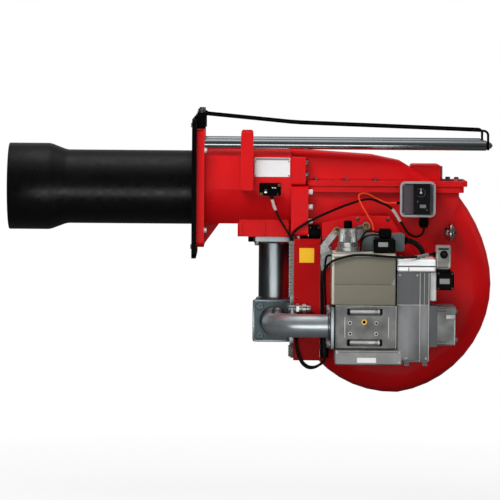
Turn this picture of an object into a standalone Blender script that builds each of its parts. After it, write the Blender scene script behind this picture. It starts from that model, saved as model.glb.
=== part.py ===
"""Industrial gas burner with a scroll fan, a servo driven air damper and a multi-valve gas train.

The burner hangs on two slide bars, so that its whole body draws back from the boiler and takes the
combustion head out of the blast tube.  All sizes are in metres.  X runs along the blast tube, away
from the boiler, Y across the burner and Z up.  The origin is on the tube's axis, at the face of the
mounting plate that bolts to the boiler.
"""
import math

import bmesh
import bpy
from mathutils import Vector

# Clearances that all pieces share
SEAT = 0.0003
RUNNING = 0.0007
OVERRUN = 0.012
MERGE = 0.00001

# Mounting plate
PLATE_THICK = 0.011
PLATE_HALF_WIDTH = 0.150
PLATE_HEIGHT = 0.336
PLATE_ABOVE_BARS = 0.059
PLATE_CORNER = 0.014
STUD_HOLE_RADIUS = 0.007
STUD_SPREAD = 0.128
STUD_LIFT = 0.062

# Blast tube
TUBE_RADIUS = 0.0900
TUBE_WALL = 0.0055
TUBE_LENGTH = 0.308
CONE_LENGTH = 0.039
HEAD_RADIUS = 0.1055
HEAD_LENGTH = 0.101
LIP_HEIGHT = 0.004
LIP_THICK = 0.005

# Slide bars and the rods that hold up their ends
BAR_RADIUS = 0.0125
BAR_LENGTH = 0.7105
BAR_SPREAD = 0.110
BAR_LIFT = 0.110
BAR_CHAMFER = 0.002
BRACKET_LENGTH = 0.0215
BRACKET_HALF_WIDTH = 0.012
BRACKET_DROP = 0.0235
BRACKET_HEIGHT = 0.0315
ROD_RADIUS = 0.0035
ROD_KINK_RUN = 0.216
ROD_KINK_DROP = 0.0202
EYE_THICK = 0.008
EYE_HALF_WIDTH = 0.010
EYE_LENGTH = 0.024
EYE_BOLT_RADIUS = 0.004
EYE_BOLT_HEAD_RADIUS = 0.0075
EYE_BOLT_HEAD_HEIGHT = 0.0085
STRAP_THICK = 0.0065
STRAP_HALF_WIDTH = 0.011
STRAP_ABOVE_BAR = 0.039
STRAP_BELOW_BAR = 0.012

# Head housing: front flange, neck, slide lugs and gas inlet boss
FLANGE_THICK = 0.0187
FLANGE_HALF_WIDTH = 0.134
FLANGE_TOP = 0.143
FLANGE_BOTTOM = 0.140
FLANGE_CORNER = 0.015
NECK_LENGTH = 0.210
NECK_HALF_WIDTH = 0.101
NECK_TOP = 0.097
NECK_BOTTOM = 0.086
NECK_SHOULDER = 0.077
NECK_WALL = 0.005
LUG_OFFSET = 0.088
LUG_LENGTH = 0.030
LUG_TOP = 0.1385
LUG_BOTTOM = 0.002
LUG_REACH = 0.020
LUG_CHAMFER = 0.004
BOSS_HALF_WIDTH = 0.062
BOSS_DROP = 0.031
BOSS_FRONT = 0.081
BOSS_RIB_THICK = 0.005
BOSS_RIB_REACH = 0.005
GUSSET_RUN = 0.041
GUSSET_THICK = 0.012
GUSSET_DEPTH = 0.052
GAS_BORE_RADIUS = 0.033
SENSOR_PAD_HALF_LENGTH = 0.029
SENSOR_PAD_HALF_HEIGHT = 0.0175
SENSOR_OFFSET = 0.159
SENSOR_HALF_LENGTH = 0.026
SENSOR_HALF_HEIGHT = 0.0155
SENSOR_BASE_THICK = 0.003
SENSOR_BODY_REACH = 0.018
SENSOR_BODY_INSET = 0.007

# Fan housing: a scroll that grows from its tongue to its full radius, then to the outlet duct
FAN_X = 0.460
FAN_Z = -0.231
SCROLL_HALF_DEPTH = 0.070
SCROLL_WALL = 0.005
SCROLL_TONGUE_RADIUS = 0.193
SCROLL_FULL_RADIUS = 0.270
SCROLL_EXIT_RADIUS = 0.287
SCROLL_ROUND = 0.045
JOINT_THICK = 0.0417
JOINT_HALF_WIDTH = 0.112
JOINT_BOTTOM = 0.114
JOINT_CORNER = 0.012
DUCT_FLOOR = 0.096
SPLIT_Z = 0.0087
SPLIT_STEP_THICK = 0.0147
SPLIT_STEP_INSET = 0.004
SPLIT_STEP_LENGTH = 0.385
LEDGE_OFFSET = 0.034
LEDGE_CORNER = 0.012
EYE_HOLE_RADIUS = 0.100
IMPELLER_HOLE_RADIUS = 0.160

# Top cover of the duct, with its rear box
LEDGE_THICK = 0.013
LEDGE_HALF_WIDTH = 0.090
LEDGE_LENGTH = 0.393
COVER_HALF_DEPTH = 0.076
COVER_WALL = 0.004
COVER_ROUND = 0.018
COVER_TOP = 0.096
COVER_CREST_RUN = 0.197
COVER_CREST_DROP = 0.013
COVER_BEND_RUN = 0.266
COVER_BEND_DROP = 0.027
COVER_TAIL_RUN = 0.355
UPPER_JOINT_THICK = 0.0347
UPPER_JOINT_HALF_WIDTH = 0.105
UPPER_JOINT_TOP = 0.079
REAR_BOX_RUN = 0.292
REAR_BOX_LENGTH = 0.072
REAR_BOX_HALF_DEPTH = 0.060
REAR_BOX_TOP = 0.061
REAR_BOX_ROUND = 0.006
HOOK_THICK = 0.0035
HOOK_HALF_WIDTH = 0.015
HOOK_Y = -0.040
HOOK_FOOT_LENGTH = 0.032
HOOK_BOLT_RADIUS = 0.0065
HOOK_BOLT_HEIGHT = 0.006

# Intake box on the near side of the scroll, with the air mouth at its top left
INTAKE_DEPTH = 0.0517
INTAKE_WALL = 0.003
INTAKE_LEFT = 0.145
INTAKE_RIGHT = 0.088
INTAKE_TOP = 0.169
INTAKE_BOTTOM = 0.161
INTAKE_TOP_LEFT_RUN = 0.069
INTAKE_TOP_RIGHT_RUN = 0.018
INTAKE_SHOULDER = 0.151
INTAKE_RIGHT_SHOULDER = 0.066
INTAKE_RIGHT_HIP = 0.079
INTAKE_BOTTOM_RIGHT_RUN = 0.030
INTAKE_BOTTOM_LEFT_RUN = 0.110
INTAKE_LEFT_HIP = 0.109

# Impeller and motor
IMPELLER_RADIUS = 0.150
IMPELLER_EYE_RADIUS = 0.110
IMPELLER_FRONT = 0.055
IMPELLER_BACK = 0.050
IMPELLER_PLATE = 0.004
BLADE_COUNT = 20
BLADE_THICK = 0.003
BLADE_SWEEP = math.radians(24)
HUB_RADIUS = 0.026
HUB_LENGTH = 0.034
SHAFT_RADIUS = 0.012
SHAFT_TIP = 0.046
SHAFT_REACH = 0.150
MOTOR_PLATE_RADIUS = 0.176
MOTOR_PLATE_THICK = 0.009
MOTOR_RADIUS = 0.066
MOTOR_FIN_HEIGHT = 0.010
MOTOR_FIN_COUNT = 20
MOTOR_BELL_RADIUS = 0.082
MOTOR_BELL_THICK = 0.014
MOTOR_LENGTH = 0.170
COWL_LENGTH = 0.058
COWL_WALL = 0.0025
COWL_EDGE = 0.010
COWL_SLOT_COUNT = 6
COWL_SLOT_HALF_WIDTH = 0.004
TERMINAL_HALF_LENGTH = 0.042
TERMINAL_HALF_WIDTH = 0.038
TERMINAL_HEIGHT = 0.042
TERMINAL_ROUND = 0.005

# Air damper in the intake box
DAMPER_RUN = 0.089
DAMPER_DROP = 0.083
DAMPER_HALF_LENGTH = 0.052
DAMPER_THICK = 0.004
DAMPER_SIDE_GAP = 0.002
DAMPER_SHAFT_RADIUS = 0.005
DAMPER_BOSS_RADIUS = 0.011
DAMPER_BOSS_REACH = 0.002

# Servomotor, its bracket, cam, levers and link
SERVO_RIGHT = 0.311
SERVO_TOP = -0.085
SERVO_HEAD_LENGTH = 0.028
SERVO_BRACKET_THICK = 0.004
SERVO_BRACKET_LENGTH = 0.075
SERVO_LENGTH = 0.049
SERVO_DEPTH = 0.036
SERVO_HEIGHT = 0.1305
SERVO_ROUND = 0.003
SERVO_SHAFT_RADIUS = 0.006
SERVO_SHAFT_SOCKET = 0.015
CAM_RADIUS = 0.038
CAM_THICK = 0.006
CAM_SPREAD = math.radians(118)
CAM_TURN = math.radians(-7)
CAM_SCREW_COUNT = 6
CAM_SCREW_RADIUS = 0.0022
CAM_SCREW_REACH = 0.042
CAM_SCREW_ROOT = 0.030
CAM_GAP = 0.014
LEVER_RUN = 0.050
LEVER_RISE = 0.063
LEVER_THICK = 0.004
LEVER_HALF_WIDTH = 0.008
LEVER_PASSING_GAP = 0.002
PIN_RADIUS = 0.004
LINK_RUN = 0.071
LINK_RISE = 0.012
LINK_EYE_RADIUS = 0.009
LINK_EYE_THICK = 0.0085
LINK_EYE_GAP = 0.0015
LINK_ROD_RADIUS = 0.0032
OPEN_PIVOT_GAP = 0.0012
PIN_HEAD = 0.001

# Sheet cover of the servomotor, its terminal comb and gland
SERVO_COVER_LENGTH = 0.063
SERVO_COVER_DEPTH = 0.0754
SERVO_COVER_HEIGHT = 0.292
SERVO_COVER_DROP = 0.0035
SERVO_COVER_WALL = 0.0015
COMB_THICK = 0.0115
COMB_DEPTH = 0.024
COMB_HEIGHT = 0.134
COMB_DROP = 0.006
COMB_Y = -0.110
COMB_SLOT_COUNT = 14
COMB_SLOT_DEPTH = 0.006
GLAND_RADIUS = 0.0175
GLAND_NUT_RADIUS = 0.014
GLAND_LENGTH = 0.0115
GLAND_LIFT = 0.020
GLAND_Y = -0.110

# Gas riser, elbow block and elbow
RISER_X = 0.201
RISER_RADIUS = 0.038
RISER_FLANGE_HALF = 0.052
RISER_FLANGE_THICK = 0.0127
RISER_FLANGE_CORNER = 0.010
RISER_LENGTH = 0.140
RISER_SOCKET = 0.010
ELBOW_BLOCK_HALF = 0.052
ELBOW_BLOCK_HEIGHT = 0.103
ELBOW_BLOCK_FRONT = 0.060
ELBOW_BLOCK_BACK = 0.055
ELBOW_PLATE_THICK = 0.012
ELBOW_BLOCK_INSET = 0.007
ELBOW_BLOCK_ROUND = 0.006
ELBOW_RADIUS = 0.0285
ELBOW_BEND = 0.076
ELBOW_STRAIGHT = 0.074
ELBOW_RUN = 0.057
ELBOW_COLLAR_RADIUS = 0.035
ELBOW_COLLAR_THICK = 0.010
ELBOW_STEPS = 7
VALVE_FLANGE_THICK = 0.011
VALVE_FLANGE_HALF = 0.052
VALVE_FLANGE_CORNER = 0.006
NIPPLE_LENGTH = 0.036
NIPPLE_RADIUS = 0.009
NIPPLE_TIP_RADIUS = 0.006
NIPPLE_NUT_RADIUS = 0.013
NIPPLE_NUT_LENGTH = 0.012
NIPPLE_LIFT = 0.038
NIPPLE_X = 0.253
NIPPLE_Y = -0.165
NIPPLE_BOSS_RADIUS = 0.010
NIPPLE_BOSS_LENGTH = 0.018
PORT_RUN = 0.008
PORT_Y = -0.155
PORT_RADIUS = 0.0145
PORT_TOP_RADIUS = 0.0115
PORT_TOP = 0.041

# Valve block, coil housing and hydraulic brake
VALVE_LENGTH = 0.146
VALVE_HALF_DEPTH = 0.060
VALVE_TOP = 0.0545
VALVE_BOTTOM = 0.050
VALVE_ROUND = 0.003
POCKET_INSET = 0.028
POCKET_LENGTH = 0.084
POCKET_HEIGHT = 0.017
POCKET_DEPTH = 0.008
POCKET_EDGE = 0.007
BASE_LENGTH = 0.1615
BASE_HALF_DEPTH = 0.055
BASE_HEIGHT = 0.038
BASE_ROUND = 0.003
COIL_LENGTH = 0.152
COIL_OVERHANG = 0.0093
COIL_HEIGHT = 0.1235
COIL_ROUND = 0.004
BRAKE_X = 0.375
BRAKE_Y = -0.2165
BRAKE_BASE_RADIUS = 0.0285
BRAKE_BASE_HEIGHT = 0.011
BRAKE_COLLAR_RADIUS = 0.024
BRAKE_COLLAR_HEIGHT = 0.0125
KNOB_RADIUS = 0.0225
KNOB_GROOVE = 0.0015
KNOB_GROOVE_COUNT = 20
KNOB_HEIGHT = 0.0325
KNOB_CHAMFER = 0.002
CAP_RADIUS = 0.010
CAP_HEIGHT = 0.0185

# Wiring box and the pressure switch on the coil housing
WIRING_BOX_X = 0.410
WIRING_BOX_LENGTH = 0.102
WIRING_BOX_DEPTH = 0.034
WIRING_BOX_HEIGHT = 0.0435
WIRING_BOX_ROUND = 0.003
LOW_SWITCH_X = 0.434
LOW_SWITCH_LENGTH = 0.053
LOW_SWITCH_DEPTH = 0.073
LOW_SWITCH_HEIGHT = 0.0345
LOW_SWITCH_ROUND = 0.003
PLUG_INSET = 0.014
PLUG_LENGTH = 0.030
PLUG_DEPTH = 0.030
PLUG_HEIGHT = 0.0225
PLUG_ROUND = 0.003

# Gas pressure regulator, inlet flange and the second switch
REGULATOR_LENGTH = 0.0775
REGULATOR_HALF_DEPTH = 0.0535
REGULATOR_RISE = 0.1347
REGULATOR_DROP = 0.080
REGULATOR_ROUND = 0.004
REGULATOR_FOOT_LENGTH = 0.011
REGULATOR_FOOT_DROP = 0.009
REGULATOR_HIP_LENGTH = 0.048
REGULATOR_HIP_OUT = 0.019
REGULATOR_HIP_RISE = 0.054
REGULATOR_HIP_DROP = 0.044
BAR_CAP_HEIGHT = 0.030
BAR_CAP_LENGTH = 0.092
BAR_CAP_HALF_DEPTH = 0.058
BAR_CAP_ROUND = 0.003
INLET_LENGTH = 0.043
INLET_HALF_DEPTH = 0.052
INLET_RISE = 0.052
INLET_DROP = 0.041
INLET_BORE_RADIUS = 0.025
INLET_BORE_DEPTH = 0.028
INLET_SLOT_LENGTH = 0.021
INLET_SLOT_HEIGHT = 0.003
INLET_SLOT_STEP = 0.0065
INLET_SLOT_DEPTH = 0.006
SWITCH_BRACKET_LENGTH = 0.0165
SWITCH_BRACKET_DEPTH = 0.040
SWITCH_BRACKET_HEIGHT = 0.070
SWITCH_BRACKET_Y = -0.235
HIGH_SWITCH_LENGTH = 0.041
HIGH_SWITCH_DEPTH = 0.056
HIGH_SWITCH_HEIGHT = 0.043
HIGH_SWITCH_ROUND = 0.003
DIN_LENGTH = 0.0355
DIN_DEPTH = 0.042
DIN_HEIGHT = 0.052
DIN_NECK_HEIGHT = 0.010
DIN_NECK_INSET = 0.003
DIN_ROUND = 0.003

# Air pressure switch on the ledge
AIR_SWITCH_X = 0.5445
AIR_SWITCH_Z = -0.0195
AIR_SWITCH_HALF = 0.0425
AIR_SWITCH_CORNER = 0.012
AIR_SWITCH_BODY_DEPTH = 0.050
AIR_SWITCH_BODY_INSET = 0.002
AIR_SWITCH_COVER_DEPTH = 0.030
AIR_SWITCH_COVER_WALL = 0.0025
PANEL_LENGTH = 0.036
PANEL_HEIGHT = 0.066
PANEL_INSET_X = 0.0095
PANEL_REACH = 0.015
DIAL_RADIUS = 0.012
DIAL_THICK = 0.007
DIAL_RUN = 0.0065
DIAL_RISE = 0.0165
AIR_GLAND_RADIUS = 0.010
AIR_GLAND_LENGTH = 0.029
AIR_GLAND_RUN = 0.016
AIR_GLAND_Y = -0.118

# Lifting eye bolt
LIFT_RUN = 0.167
LIFT_RISE = 0.129
LIFT_COLLAR_RADIUS = 0.015
LIFT_COLLAR_THICK = 0.006
LIFT_RING_RADIUS = 0.0185
LIFT_RING_THICK = 0.0055
LIFT_NECK_RADIUS = 0.007
LIFT_RING_GAP = 0.007

# Combustion head inside the tube
NOZZLE_RADIUS = 0.026
NOZZLE_BEND = 0.045
NOZZLE_TIP = 0.366
NOZZLE_COLLAR_THICK = 0.007
NOZZLE_STEPS = 5
DIFFUSER_RADIUS = 0.078
DIFFUSER_THICK = 0.003
DIFFUSER_RIM = 0.012
DIFFUSER_PLACE = 0.352
DIFFUSER_SLOT_COUNT = 8
DIFFUSER_SLOT_HALF_WIDTH = 0.003
DIFFUSER_SLOT_INNER = 0.038
DIFFUSER_SLOT_OUTER = 0.070
ELECTRODE_RADIUS = 0.004
ELECTRODE_Y = 0.030
ELECTRODE_Z = 0.012
ELECTRODE_TIP = 0.372
ELECTRODE_TAIL = 0.120

# Cables: radius of each and the routes that they follow
SENSOR_CABLE_RADIUS = 0.0027
AIR_CABLE_RADIUS = 0.0030
PRESSURE_TUBE_RADIUS = 0.0021
DIN_CABLE_RADIUS = 0.0027
COIL_CABLE_RADIUS = 0.0027
LOOP_CABLE_RADIUS = 0.0030
CONDUIT_RADIUS = 0.0065
SLEEVE_RADIUS = 0.010
SLEEVE_TOP = -0.3505
SLEEVE_LENGTH = 0.052
SLEEVE_X = 0.3225
SLEEVE_Y = -0.160

SENSOR_CABLE_ROUTE = [
    (0.1930, -0.1120, -0.0123), (0.1930, -0.1120, -0.0200), (0.1990, -0.1110, -0.0400),
    (0.2110, -0.1080, -0.0680), (0.2240, -0.1050, -0.0900), (0.2330, -0.1040, -0.1040),
    (0.2368, -0.1040, -0.1120), (0.2393, -0.1040, -0.1180), (0.2393, -0.1040, -0.1237),
]
AIR_CABLE_ROUTE = [
    (0.2425, -0.1160, -0.1237), (0.2425, -0.1160, -0.1170), (0.2445, -0.1165, -0.1060),
    (0.2620, -0.1168, -0.0900), (0.2960, -0.1160, -0.0700), (0.3350, -0.1090, -0.0520),
    (0.3720, -0.1050, -0.0370), (0.4050, -0.1040, -0.0260), (0.4290, -0.1040, -0.0215),
    (0.4520, -0.1050, -0.0280), (0.4830, -0.1080, -0.0440), (0.5060, -0.1110, -0.0770),
    (0.5230, -0.1140, -0.1020), (0.5400, -0.1170, -0.1110), (0.5550, -0.1180, -0.1065),
    (0.5605, -0.1180, -0.0960), (0.5605, -0.1180, -0.0893),
]
PRESSURE_TUBE_ROUTE = [
    (0.5037, -0.1200, -0.0300), (0.4900, -0.1200, -0.0300), (0.4700, -0.1210, -0.0295),
    (0.4460, -0.1260, -0.0190), (0.4280, -0.1330, -0.0095), (0.4130, -0.1420, -0.0060),
    (0.4020, -0.1520, -0.0115), (0.4060, -0.1600, -0.0280), (0.4210, -0.1660, -0.0540),
    (0.4350, -0.1690, -0.0790), (0.4370, -0.1690, -0.0920), (0.4370, -0.1690, -0.0996),
]
DIN_CABLE_ROUTE = [
    (0.5836, -0.2360, -0.1465), (0.5750, -0.2360, -0.1465), (0.5580, -0.2480, -0.1480),
    (0.5400, -0.2640, -0.1510), (0.5160, -0.2745, -0.1520), (0.4780, -0.2760, -0.1510),
    (0.4330, -0.2760, -0.1480), (0.3870, -0.2760, -0.1480), (0.3480, -0.2765, -0.1580),
    (0.3310, -0.2740, -0.1670), (0.3200, -0.2610, -0.1810), (0.3160, -0.2350, -0.2010),
    (0.3155, -0.2080, -0.2250), (0.3170, -0.1800, -0.2620), (0.3185, -0.1640, -0.3020),
    (0.3185, -0.1600, -0.3350), (0.3185, -0.1600, -0.3502),
]
COIL_CABLE_ROUTE = [
    (0.3357, -0.1900, -0.1540), (0.3290, -0.1900, -0.1540), (0.3235, -0.1890, -0.1620),
    (0.3215, -0.1800, -0.1950), (0.3225, -0.1700, -0.2400), (0.3255, -0.1620, -0.2850),
    (0.3265, -0.1600, -0.3350), (0.3265, -0.1600, -0.3502),
]
LOOP_CABLE_ROUTE = [
    (0.0065, 0.0050, 0.0540), (0.0070, 0.0115, 0.0500), (0.0078, 0.0148, 0.0420),
    (0.0100, 0.0155, 0.0300), (0.0150, 0.0150, 0.0130), (0.0225, 0.0135, -0.0020),
    (0.0350, 0.0115, -0.0125), (0.0490, 0.0100, -0.0145), (0.0630, 0.0095, -0.0095),
]
LOOP_CABLE_GAP = 0.0077
CONDUIT_ROUTE = [
    (0.5123, -0.1690, -0.1180), (0.5230, -0.1690, -0.1180), (0.5400, -0.1770, -0.1250),
    (0.5520, -0.1900, -0.1380), (0.5550, -0.1960, -0.1490), (0.5550, -0.1960, -0.1567),
]
LONG_STEP = 0.024
ROUTE_STEP = 0.018
SHORT_STEP = 0.008
CABLE_LEAD = 0.004

# Places worked out from the sizes above
NECK_X = PLATE_THICK + SEAT
NECK_END = NECK_X + FLANGE_THICK + NECK_LENGTH
JOINT_X = NECK_END + SEAT
FAN_FACE = -SCROLL_HALF_DEPTH
INTAKE_BACK = FAN_FACE - SEAT
INTAKE_FACE = INTAKE_BACK - INTAKE_DEPTH
COVER_Z = SPLIT_Z + SEAT
LEDGE_TOP = COVER_Z + LEDGE_THICK
LEDGE_X = JOINT_X + LEDGE_OFFSET
PLATE_TOP = BAR_LIFT + PLATE_ABOVE_BARS
BRACKET_Z = PLATE_TOP - BRACKET_DROP
BRACKET_TOP = BRACKET_Z + BRACKET_HEIGHT
STRAP_X = BAR_LENGTH + SEAT
DAMPER_X = FAN_X - DAMPER_RUN
DAMPER_Z = FAN_Z + DAMPER_DROP
CAM_X = DAMPER_X - LINK_RUN
CAM_Z = DAMPER_Z - LINK_RISE
SERVO_BACK = FAN_FACE - SEAT - SERVO_BRACKET_THICK - SEAT
SERVO_FACE = SERVO_BACK - SERVO_DEPTH
SERVO_COVER_X = SERVO_RIGHT - SERVO_COVER_LENGTH
SERVO_SHELF = -JOINT_BOTTOM - RUNNING
SERVO_COVER_TOP = SERVO_SHELF - SERVO_COVER_DROP
SERVO_COVER_BOTTOM = SERVO_COVER_TOP - SERVO_COVER_HEIGHT
SERVO_COVER_FACE = SERVO_BACK - SERVO_COVER_DEPTH
CAM_BACK = SERVO_FACE - CAM_GAP
LEVER_BACK = CAM_BACK - CAM_THICK
LEVER_FACE = LEVER_BACK - LEVER_THICK
DAMPER_LEVER_FACE = LEVER_BACK + LEVER_PASSING_GAP
DAMPER_LEVER_BACK = DAMPER_LEVER_FACE + LEVER_THICK
LINK_BACK = LEVER_FACE - LINK_EYE_GAP
LINK_FACE = LINK_BACK - LINK_EYE_THICK
RISER_TOP = -NECK_BOTTOM - BOSS_DROP - SEAT
BLOCK_TOP = RISER_TOP - RISER_FLANGE_THICK - RISER_LENGTH - SEAT
GAS_Z = BLOCK_TOP - ELBOW_BLOCK_HALF + SEAT
GAS_Y = -ELBOW_BLOCK_FRONT - SEAT - ELBOW_STRAIGHT - ELBOW_BEND
VALVE_X = RISER_X + ELBOW_BEND + ELBOW_RUN + VALVE_FLANGE_THICK + SEAT
VALVE_CEILING = GAS_Z + VALVE_TOP
VALVE_FLOOR = GAS_Z - VALVE_BOTTOM
BASE_TOP = VALVE_FLOOR - SEAT
COIL_X = VALVE_X - COIL_OVERHANG
COIL_FLOOR = VALVE_CEILING + SEAT
COIL_TOP = COIL_FLOOR + COIL_HEIGHT
ON_COIL = COIL_TOP + SEAT
REGULATOR_X = VALVE_X + VALVE_LENGTH + SEAT
REGULATOR_TOP = GAS_Z + REGULATOR_RISE
INLET_X = REGULATOR_X + REGULATOR_LENGTH + REGULATOR_HIP_OUT + SEAT
AIR_SWITCH_BACK = -LEDGE_HALF_WIDTH - SEAT
AIR_SWITCH_FRONT = AIR_SWITCH_BACK - AIR_SWITCH_BODY_DEPTH

# Small sizes and counts that several pieces use
SMALL_SIDES = 12
ROUND_SIDES = 24
BIG_SIDES = 32
HEX_SIDES = 6
SCROLL_STEPS = 32
SIDES = (-1, 1)

COLOURS = {
    "red paint": ((0.58, 0.012, 0.015, 1), 0.35, 0.0),
    "black paint": ((0.012, 0.012, 0.013, 1), 0.45, 0.0),
    "tube black": ((0.016, 0.014, 0.014, 1), 0.5, 0.2),
    "zinc": ((0.55, 0.57, 0.60, 1), 0.35, 1.0),
    "chrome": ((0.70, 0.72, 0.75, 1), 0.15, 1.0),
    "aluminium": ((0.42, 0.42, 0.41, 1), 0.5, 1.0),
    "steel": ((0.35, 0.36, 0.38, 1), 0.4, 1.0),
    "beige": ((0.19, 0.18, 0.145, 1), 0.45, 0.2),
    "grey metal": ((0.22, 0.23, 0.24, 1), 0.45, 0.6),
    "grey plastic": ((0.30, 0.31, 0.31, 1), 0.5, 0.0),
    "box grey": ((0.11, 0.15, 0.145, 1), 0.5, 0.0),
    "black plastic": ((0.015, 0.015, 0.016, 1), 0.4, 0.0),
    "clear plastic": ((0.62, 0.65, 0.68, 1), 0.12, 0.0),
    "dial": ((0.45, 0.46, 0.47, 1), 0.4, 0.0),
    "orange tube": ((0.80, 0.09, 0.03, 1), 0.45, 0.0),
    "ceramic": ((0.80, 0.78, 0.72, 1), 0.3, 0.0),
}


def new_collection(name):
    found = bpy.data.collections.get(name)
    if found is None:
        found = bpy.data.collections.new(name)
        bpy.context.scene.collection.children.link(found)
    return found


for leftover in list(bpy.data.objects):
    bpy.data.objects.remove(leftover, do_unlink=True)
PARTS = new_collection("industrial_gas_burner")
CUTTERS = new_collection("cutters")


def finish(obj, colour):
    """Give the piece its own Principled material."""
    base, roughness, metallic = COLOURS[colour]
    material = bpy.data.materials.new(obj.name + "_finish")
    material.use_nodes = True
    shader = material.node_tree.nodes["Principled BSDF"]
    shader.inputs["Base Color"].default_value = base
    shader.inputs["Roughness"].default_value = roughness
    shader.inputs["Metallic"].default_value = metallic
    obj.data.materials.clear()
    obj.data.materials.append(material)
    return obj


def placed(name, mesh, place):
    obj = bpy.data.objects.new(name, mesh)
    PARTS.objects.link(obj)
    obj.location = place
    return obj


def shaded(mesh):
    mesh.shade_smooth()
    mesh.set_sharp_from_angle(angle=math.radians(32))
    return mesh


def block(name, x, y, z, corner=0.0, along=None, segments=2):
    """A box between two values on each axis, with its edges rounded, or only those along one axis."""
    spans = (x, y, z)
    size = Vector([high - low for low, high in spans])
    middle = Vector([(high + low) / 2 for low, high in spans])
    bm = bmesh.new()
    bmesh.ops.create_cube(bm, size=1.0)
    bmesh.ops.scale(bm, vec=size, verts=bm.verts)
    if corner > 0:
        edges = list(bm.edges)
        if along is not None:
            index = "XYZ".index(along)
            edges = [edge for edge in edges
                     if abs((edge.verts[0].co - edge.verts[1].co)[index]) > size[index] / 2]
        bmesh.ops.bevel(bm, geom=edges, offset=corner, offset_type="OFFSET", segments=segments,
                        profile=0.5, affect="EDGES")
    mesh = bpy.data.meshes.new(name)
    bm.to_mesh(mesh)
    bm.free()
    return placed(name, shaded(mesh), middle)


def along_axis(axis, run, across):
    """A point from its place along an axis and its two places across it."""
    first, second = across
    return {"X": Vector((run, first, second)),
            "Y": Vector((first, run, second)),
            "Z": Vector((first, second, run))}[axis]


TURN = {"X": (0.0, math.pi / 2, 0.0), "Y": (-math.pi / 2, 0.0, 0.0), "Z": (0.0, 0.0, 0.0)}


def cylinder(name, axis, span, across, radius, sides=ROUND_SIDES, far_radius=None):
    """A cylinder or cone between two values on an axis."""
    start, end = span
    bm = bmesh.new()
    bmesh.ops.create_cone(bm, cap_ends=True, cap_tris=False, segments=sides, radius1=radius,
                          radius2=radius if far_radius is None else far_radius, depth=end - start)
    mesh = bpy.data.meshes.new(name)
    bm.to_mesh(mesh)
    bm.free()
    obj = placed(name, shaded(mesh), along_axis(axis, (start + end) / 2, across))
    obj.rotation_euler = TURN[axis]
    return obj


def turned(name, axis, profile, across, sides=BIG_SIDES, hollow=False):
    """A turned piece: its profile lists (radius, place) from the far end down the outer side."""
    mesh = bpy.data.meshes.new(name)
    points = [(radius, 0.0, run) for radius, run in profile]
    edges = [(index, index + 1) for index in range(len(points) - 1)]
    if hollow:
        edges.append((len(points) - 1, 0))
    mesh.from_pydata(points, edges, [])
    obj = placed(name, mesh, along_axis(axis, 0.0, across))
    obj.rotation_euler = TURN[axis]
    screw = obj.modifiers.new("turn", "SCREW")
    screw.axis = "Z"
    screw.steps = sides
    screw.render_steps = sides
    screw.use_merge_vertices = True
    screw.merge_threshold = MERGE
    screw.use_smooth_shade = True
    return obj


PRISM_TURN = {"X": (math.pi / 2, 0.0, math.pi / 2), "Y": (math.pi / 2, 0.0, 0.0), "Z": (0.0, 0.0, 0.0)}


def prism(name, axis, outline, span, rounded=0, radius=0.0, segments=3):
    """A flat outline extruded along an axis.

    The outline is in (Y, Z), (X, Z) or (X, Y).  The rims between its first rounded points get a
    rounding of the given radius on both faces.
    """
    low, high = span
    curve = bpy.data.curves.new(name, "CURVE")
    curve.dimensions = "2D"
    curve.fill_mode = "BOTH"
    curve.extrude = (high - low) / 2
    spline = curve.splines.new("POLY")
    spline.points.add(len(outline) - 1)
    for point, (first, second) in zip(spline.points, outline):
        point.co = (first, second, 0.0, 1.0)
    spline.use_cyclic_u = True
    sketch = placed(name + "_sketch", curve, Vector((0.0, 0.0, 0.0)))
    mesh = solid_mesh(sketch, name)
    if rounded:
        round_rims(mesh, outline[:rounded], (high - low) / 2, radius, segments)
    obj = placed(name, shaded(mesh), along_axis(axis, (low + high) / 2, (0.0, 0.0)))
    obj.rotation_euler = PRISM_TURN[axis]
    return obj


def solid_mesh(obj, name):
    """Make a curve's closed mesh, and remove the curve."""
    depsgraph = bpy.context.evaluated_depsgraph_get()
    mesh = bpy.data.meshes.new_from_object(obj.evaluated_get(depsgraph))
    mesh.name = name
    bm = bmesh.new()
    bm.from_mesh(mesh)
    bmesh.ops.remove_doubles(bm, verts=bm.verts, dist=MERGE)
    bmesh.ops.recalc_face_normals(bm, faces=bm.faces)
    bm.to_mesh(mesh)
    bm.free()
    bpy.data.objects.remove(obj, do_unlink=True)
    return mesh


def round_rims(mesh, points, half, radius, segments):
    """Round the rims of an extruded outline between the given points, on both faces."""
    bm = bmesh.new()
    bm.from_mesh(mesh)
    for side in SIDES:
        cap = [face for face in bm.faces
               if all(abs(vert.co.z - side * half) < MERGE for vert in face.verts)]
        bmesh.ops.dissolve_faces(bm, faces=cap, use_verts=False)
    rims = []
    for edge in bm.edges:
        first, second = [vert.co for vert in edge.verts]
        if abs(first.z - second.z) > MERGE:
            continue
        places = [nearest(point.xy, points) for point in (first, second)]
        if None not in places and abs(places[0] - places[1]) == 1:
            rims.append(edge)
    bmesh.ops.bevel(bm, geom=rims, offset=radius, offset_type="OFFSET", segments=segments,
                    profile=0.5, affect="EDGES", clamp_overlap=False)
    bmesh.ops.recalc_face_normals(bm, faces=bm.faces)
    bm.to_mesh(mesh)
    bm.free()


def nearest(place, points):
    for index, point in enumerate(points):
        if (Vector(point) - place).length < MERGE:
            return index
    return None


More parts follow.
